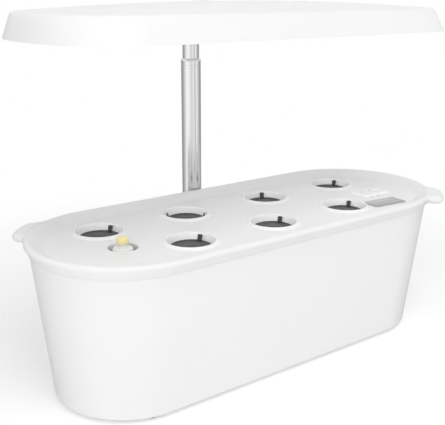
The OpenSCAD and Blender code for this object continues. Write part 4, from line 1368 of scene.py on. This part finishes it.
def make_lead():
    """The curly lead inside the mast: one tube wound as a helix."""
    low, high = foot_of("lamp_lead"), top_of("lamp_lead")
    steps = COIL_TURNS * COIL_STEPS
    rise = (high - low - 2 * CABLE_R) / steps
    sides = [polar(CABLE_R, 360.0 * k / CABLE_SIDES) for k in range(CABLE_SIDES)]
    rings = []
    for i in range(steps + 1):
        nx, ny = polar(1.0, 360.0 * i / COIL_STEPS)
        z = low + CABLE_R + rise * i
        rings.append([(MAST[0] + (COIL_R + r) * nx, MAST[1] + (COIL_R + r) * ny, z + up) for r, up in sides])
    bm = bmesh.new()
    made = loft(bm, rings)
    fan(bm, made[0])
    fan(bm, made[-1])
    coil = in_metres("curly_lead", bm)
    coil.data.materials.append(FINISHES["lead_sheath"])
    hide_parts("lamp_lead")
    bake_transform(coil)


# ---------- grow lamp

LAMP_END_STEPS = 48
LAMP_RUN_STEPS = 48
CROWN_RINGS = (0.0, 0.02, 0.05, 0.09, 0.14, 0.2, 0.28, 0.38, 0.5, 0.62, 0.74, 0.85, 0.93, 0.98)


def lamp_outline(end_in, side_in):
    """The lamp's plan outline, drawn in at its ends and sides: blunt ends and straight sides."""
    half_w = LAMP_W / 2 - side_in
    run = LAMP_L / 2 - end_in - LAMP_END
    power = 2.0 / LAMP_POWER
    out = []
    for side in (1.0, -1.0):
        for i in range(LAMP_END_STEPS + 1):
            x, y = polar(1.0, -90.0 + 180.0 * i / LAMP_END_STEPS)
            y = half_w * math.copysign(abs(y) ** power, y)
            out.append((side * (run + LAMP_END * x**power), side * y))
        out += line((side * run, side * half_w), (-side * run, side * half_w), LAMP_RUN_STEPS)
    return [(LAMP_AT[0] + x, LAMP_AT[1] + y) for x, y in out]


def blister(x, y):
    """The low rise of the crown over the hub."""
    dx, dy = (x - MAST[0]) / BLISTER_DX, (y - MAST[1] + BLISTER_FORWARD) / BLISTER_DY
    return BLISTER_H * math.exp(-dx * dx - dy * dy)


def lamp_ring(end_in, side_in, z, rise=0.0):
    """A ring round the lamp at one height, its back edge swollen over the mast."""
    out = []
    for x, y in lamp_outline(end_in, side_in):
        beside = abs(x - MAST[0])
        if y > LAMP_AT[1] and beside < POD_HALF:
            y += POD_REACH * 0.5 * (1.0 + math.cos(math.pi * beside / POD_HALF))
        out.append((x, y, z + rise * blister(x, y)))
    return out


def crown_ring(share, base, t):
    """A ring of the crown, drawn in from its base by a share of the way to the lamp's middle."""
    z = CREASE_Z - t + LAMP_CROWN * (1.0 - (1.0 - share) ** 2)
    inner = [[c + (p - c) * (1.0 - share) for c, p in zip(LAMP_AT, point)] for point in base]
    return [(x, y, z + blister(x, y)) for x, y in inner]


def lamp_rings(t):
    """The lamp's outer skin, or with a thickness its inner skin, from the lower edge to the crown."""
    rings = []
    for up in (0.0, 0.25, 0.5, 0.75, 0.9):
        rings.append(lamp_ring(LAMP_END_LEAN * up + t, LAMP_LEAN * up + t, LAMP_Z + LAMP_WALL_H * up))
    end, side, z = LAMP_END_LEAN + t, LAMP_LEAN + t, CREASE_Z - t
    for share, drop in ((0.25, 0.9), (0.5, 0.42), (0.75, 0.12)):
        inset = CREASE_INSET * share
        rings.append(lamp_ring(end + inset - 0.3, side + inset - 0.6, z - drop, 0.4 * share))
    base = lamp_ring(end + CREASE_INSET, side + CREASE_INSET, z)
    return rings + [crown_ring(share, base, t) for share in CROWN_RINGS]


def make_lamp():
    """The lamp's cover, with an outer and an inner skin and a soft lower lip."""
    bm = bmesh.new()
    edges = []
    for t in (0.0, LAMP_T):
        skin = loft(bm, lamp_rings(t))
        fan(bm, skin[-1])
        edges.append(skin[0])
    lip = loft(bm, [lamp_ring(inset, inset, LAMP_Z) for inset in (0.35, LAMP_T - 0.4)])
    bridge(bm, edges[0], lip[0])
    bridge(bm, lip[1], edges[1])
    piece("lamp_shell", bm, "white_shell", "lamp", "lamp_cover", angle=50.0)


OPAL_END_IN = 3.4
OPAL_SIDE_IN = 4.9
OPAL_NOTCH_R = 15.2
SCREW_HOLE_R = 1.7


def opal_ring(inset, z):
    """The opal plate's outline, with the notch that clears the mast's hub."""
    edge_y = LAMP_AT[1] + LAMP_W / 2 - OPAL_SIDE_IN - inset
    r = OPAL_NOTCH_R + inset
    low = -math.degrees(math.asin((MAST[1] - edge_y) / r))
    notch = arc(*MAST, r, low, -180.0 - low, 24)
    outline = []
    for x, y in lamp_outline(OPAL_END_IN + inset, OPAL_SIDE_IN + inset):
        if y < LAMP_AT[1] or abs(x - MAST[0]) >= OPAL_NOTCH_R + 1.0:
            outline.append((x, y))
        else:
            outline += notch
            notch = []
    return [(x, y, z) for x, y in outline]


def make_opal_plate():
    """The plate under the LEDs, with a soft lower edge and eight screw holes."""
    low, high = foot_of("lamp_diffuser"), top_of("lamp_diffuser")
    bm = bmesh.new()
    edge = [(0.5, low), (0.15, low + 0.15), (0.0, low + 0.5), (0.0, high)]
    rings = loft(bm, [opal_ring(inset, z) for inset, z in edge])
    lower, upper = [rings[0]], [rings[-1]]
    for at in LAMP_FASTENERS:
        hole(bm, at, [(SCREW_HOLE_R, low), (SCREW_HOLE_R, high)], TINY_CIRCLE, lower, upper)
    fill(bm, lower, upper)
    piece("opal_plate", bm, "opal_cover", "lamp", "lamp_diffuser")


# ---------- scene

make_studio()
dress_cad_nodes()
make_tank()
make_housing()
make_grommet()
make_inlet()
make_feet()
make_deck()
make_window()
make_pad()
make_buttons()
make_lights()
make_cups()
make_float()
make_mast()
make_lead()
make_lamp()
make_opal_plate()
make_screws()
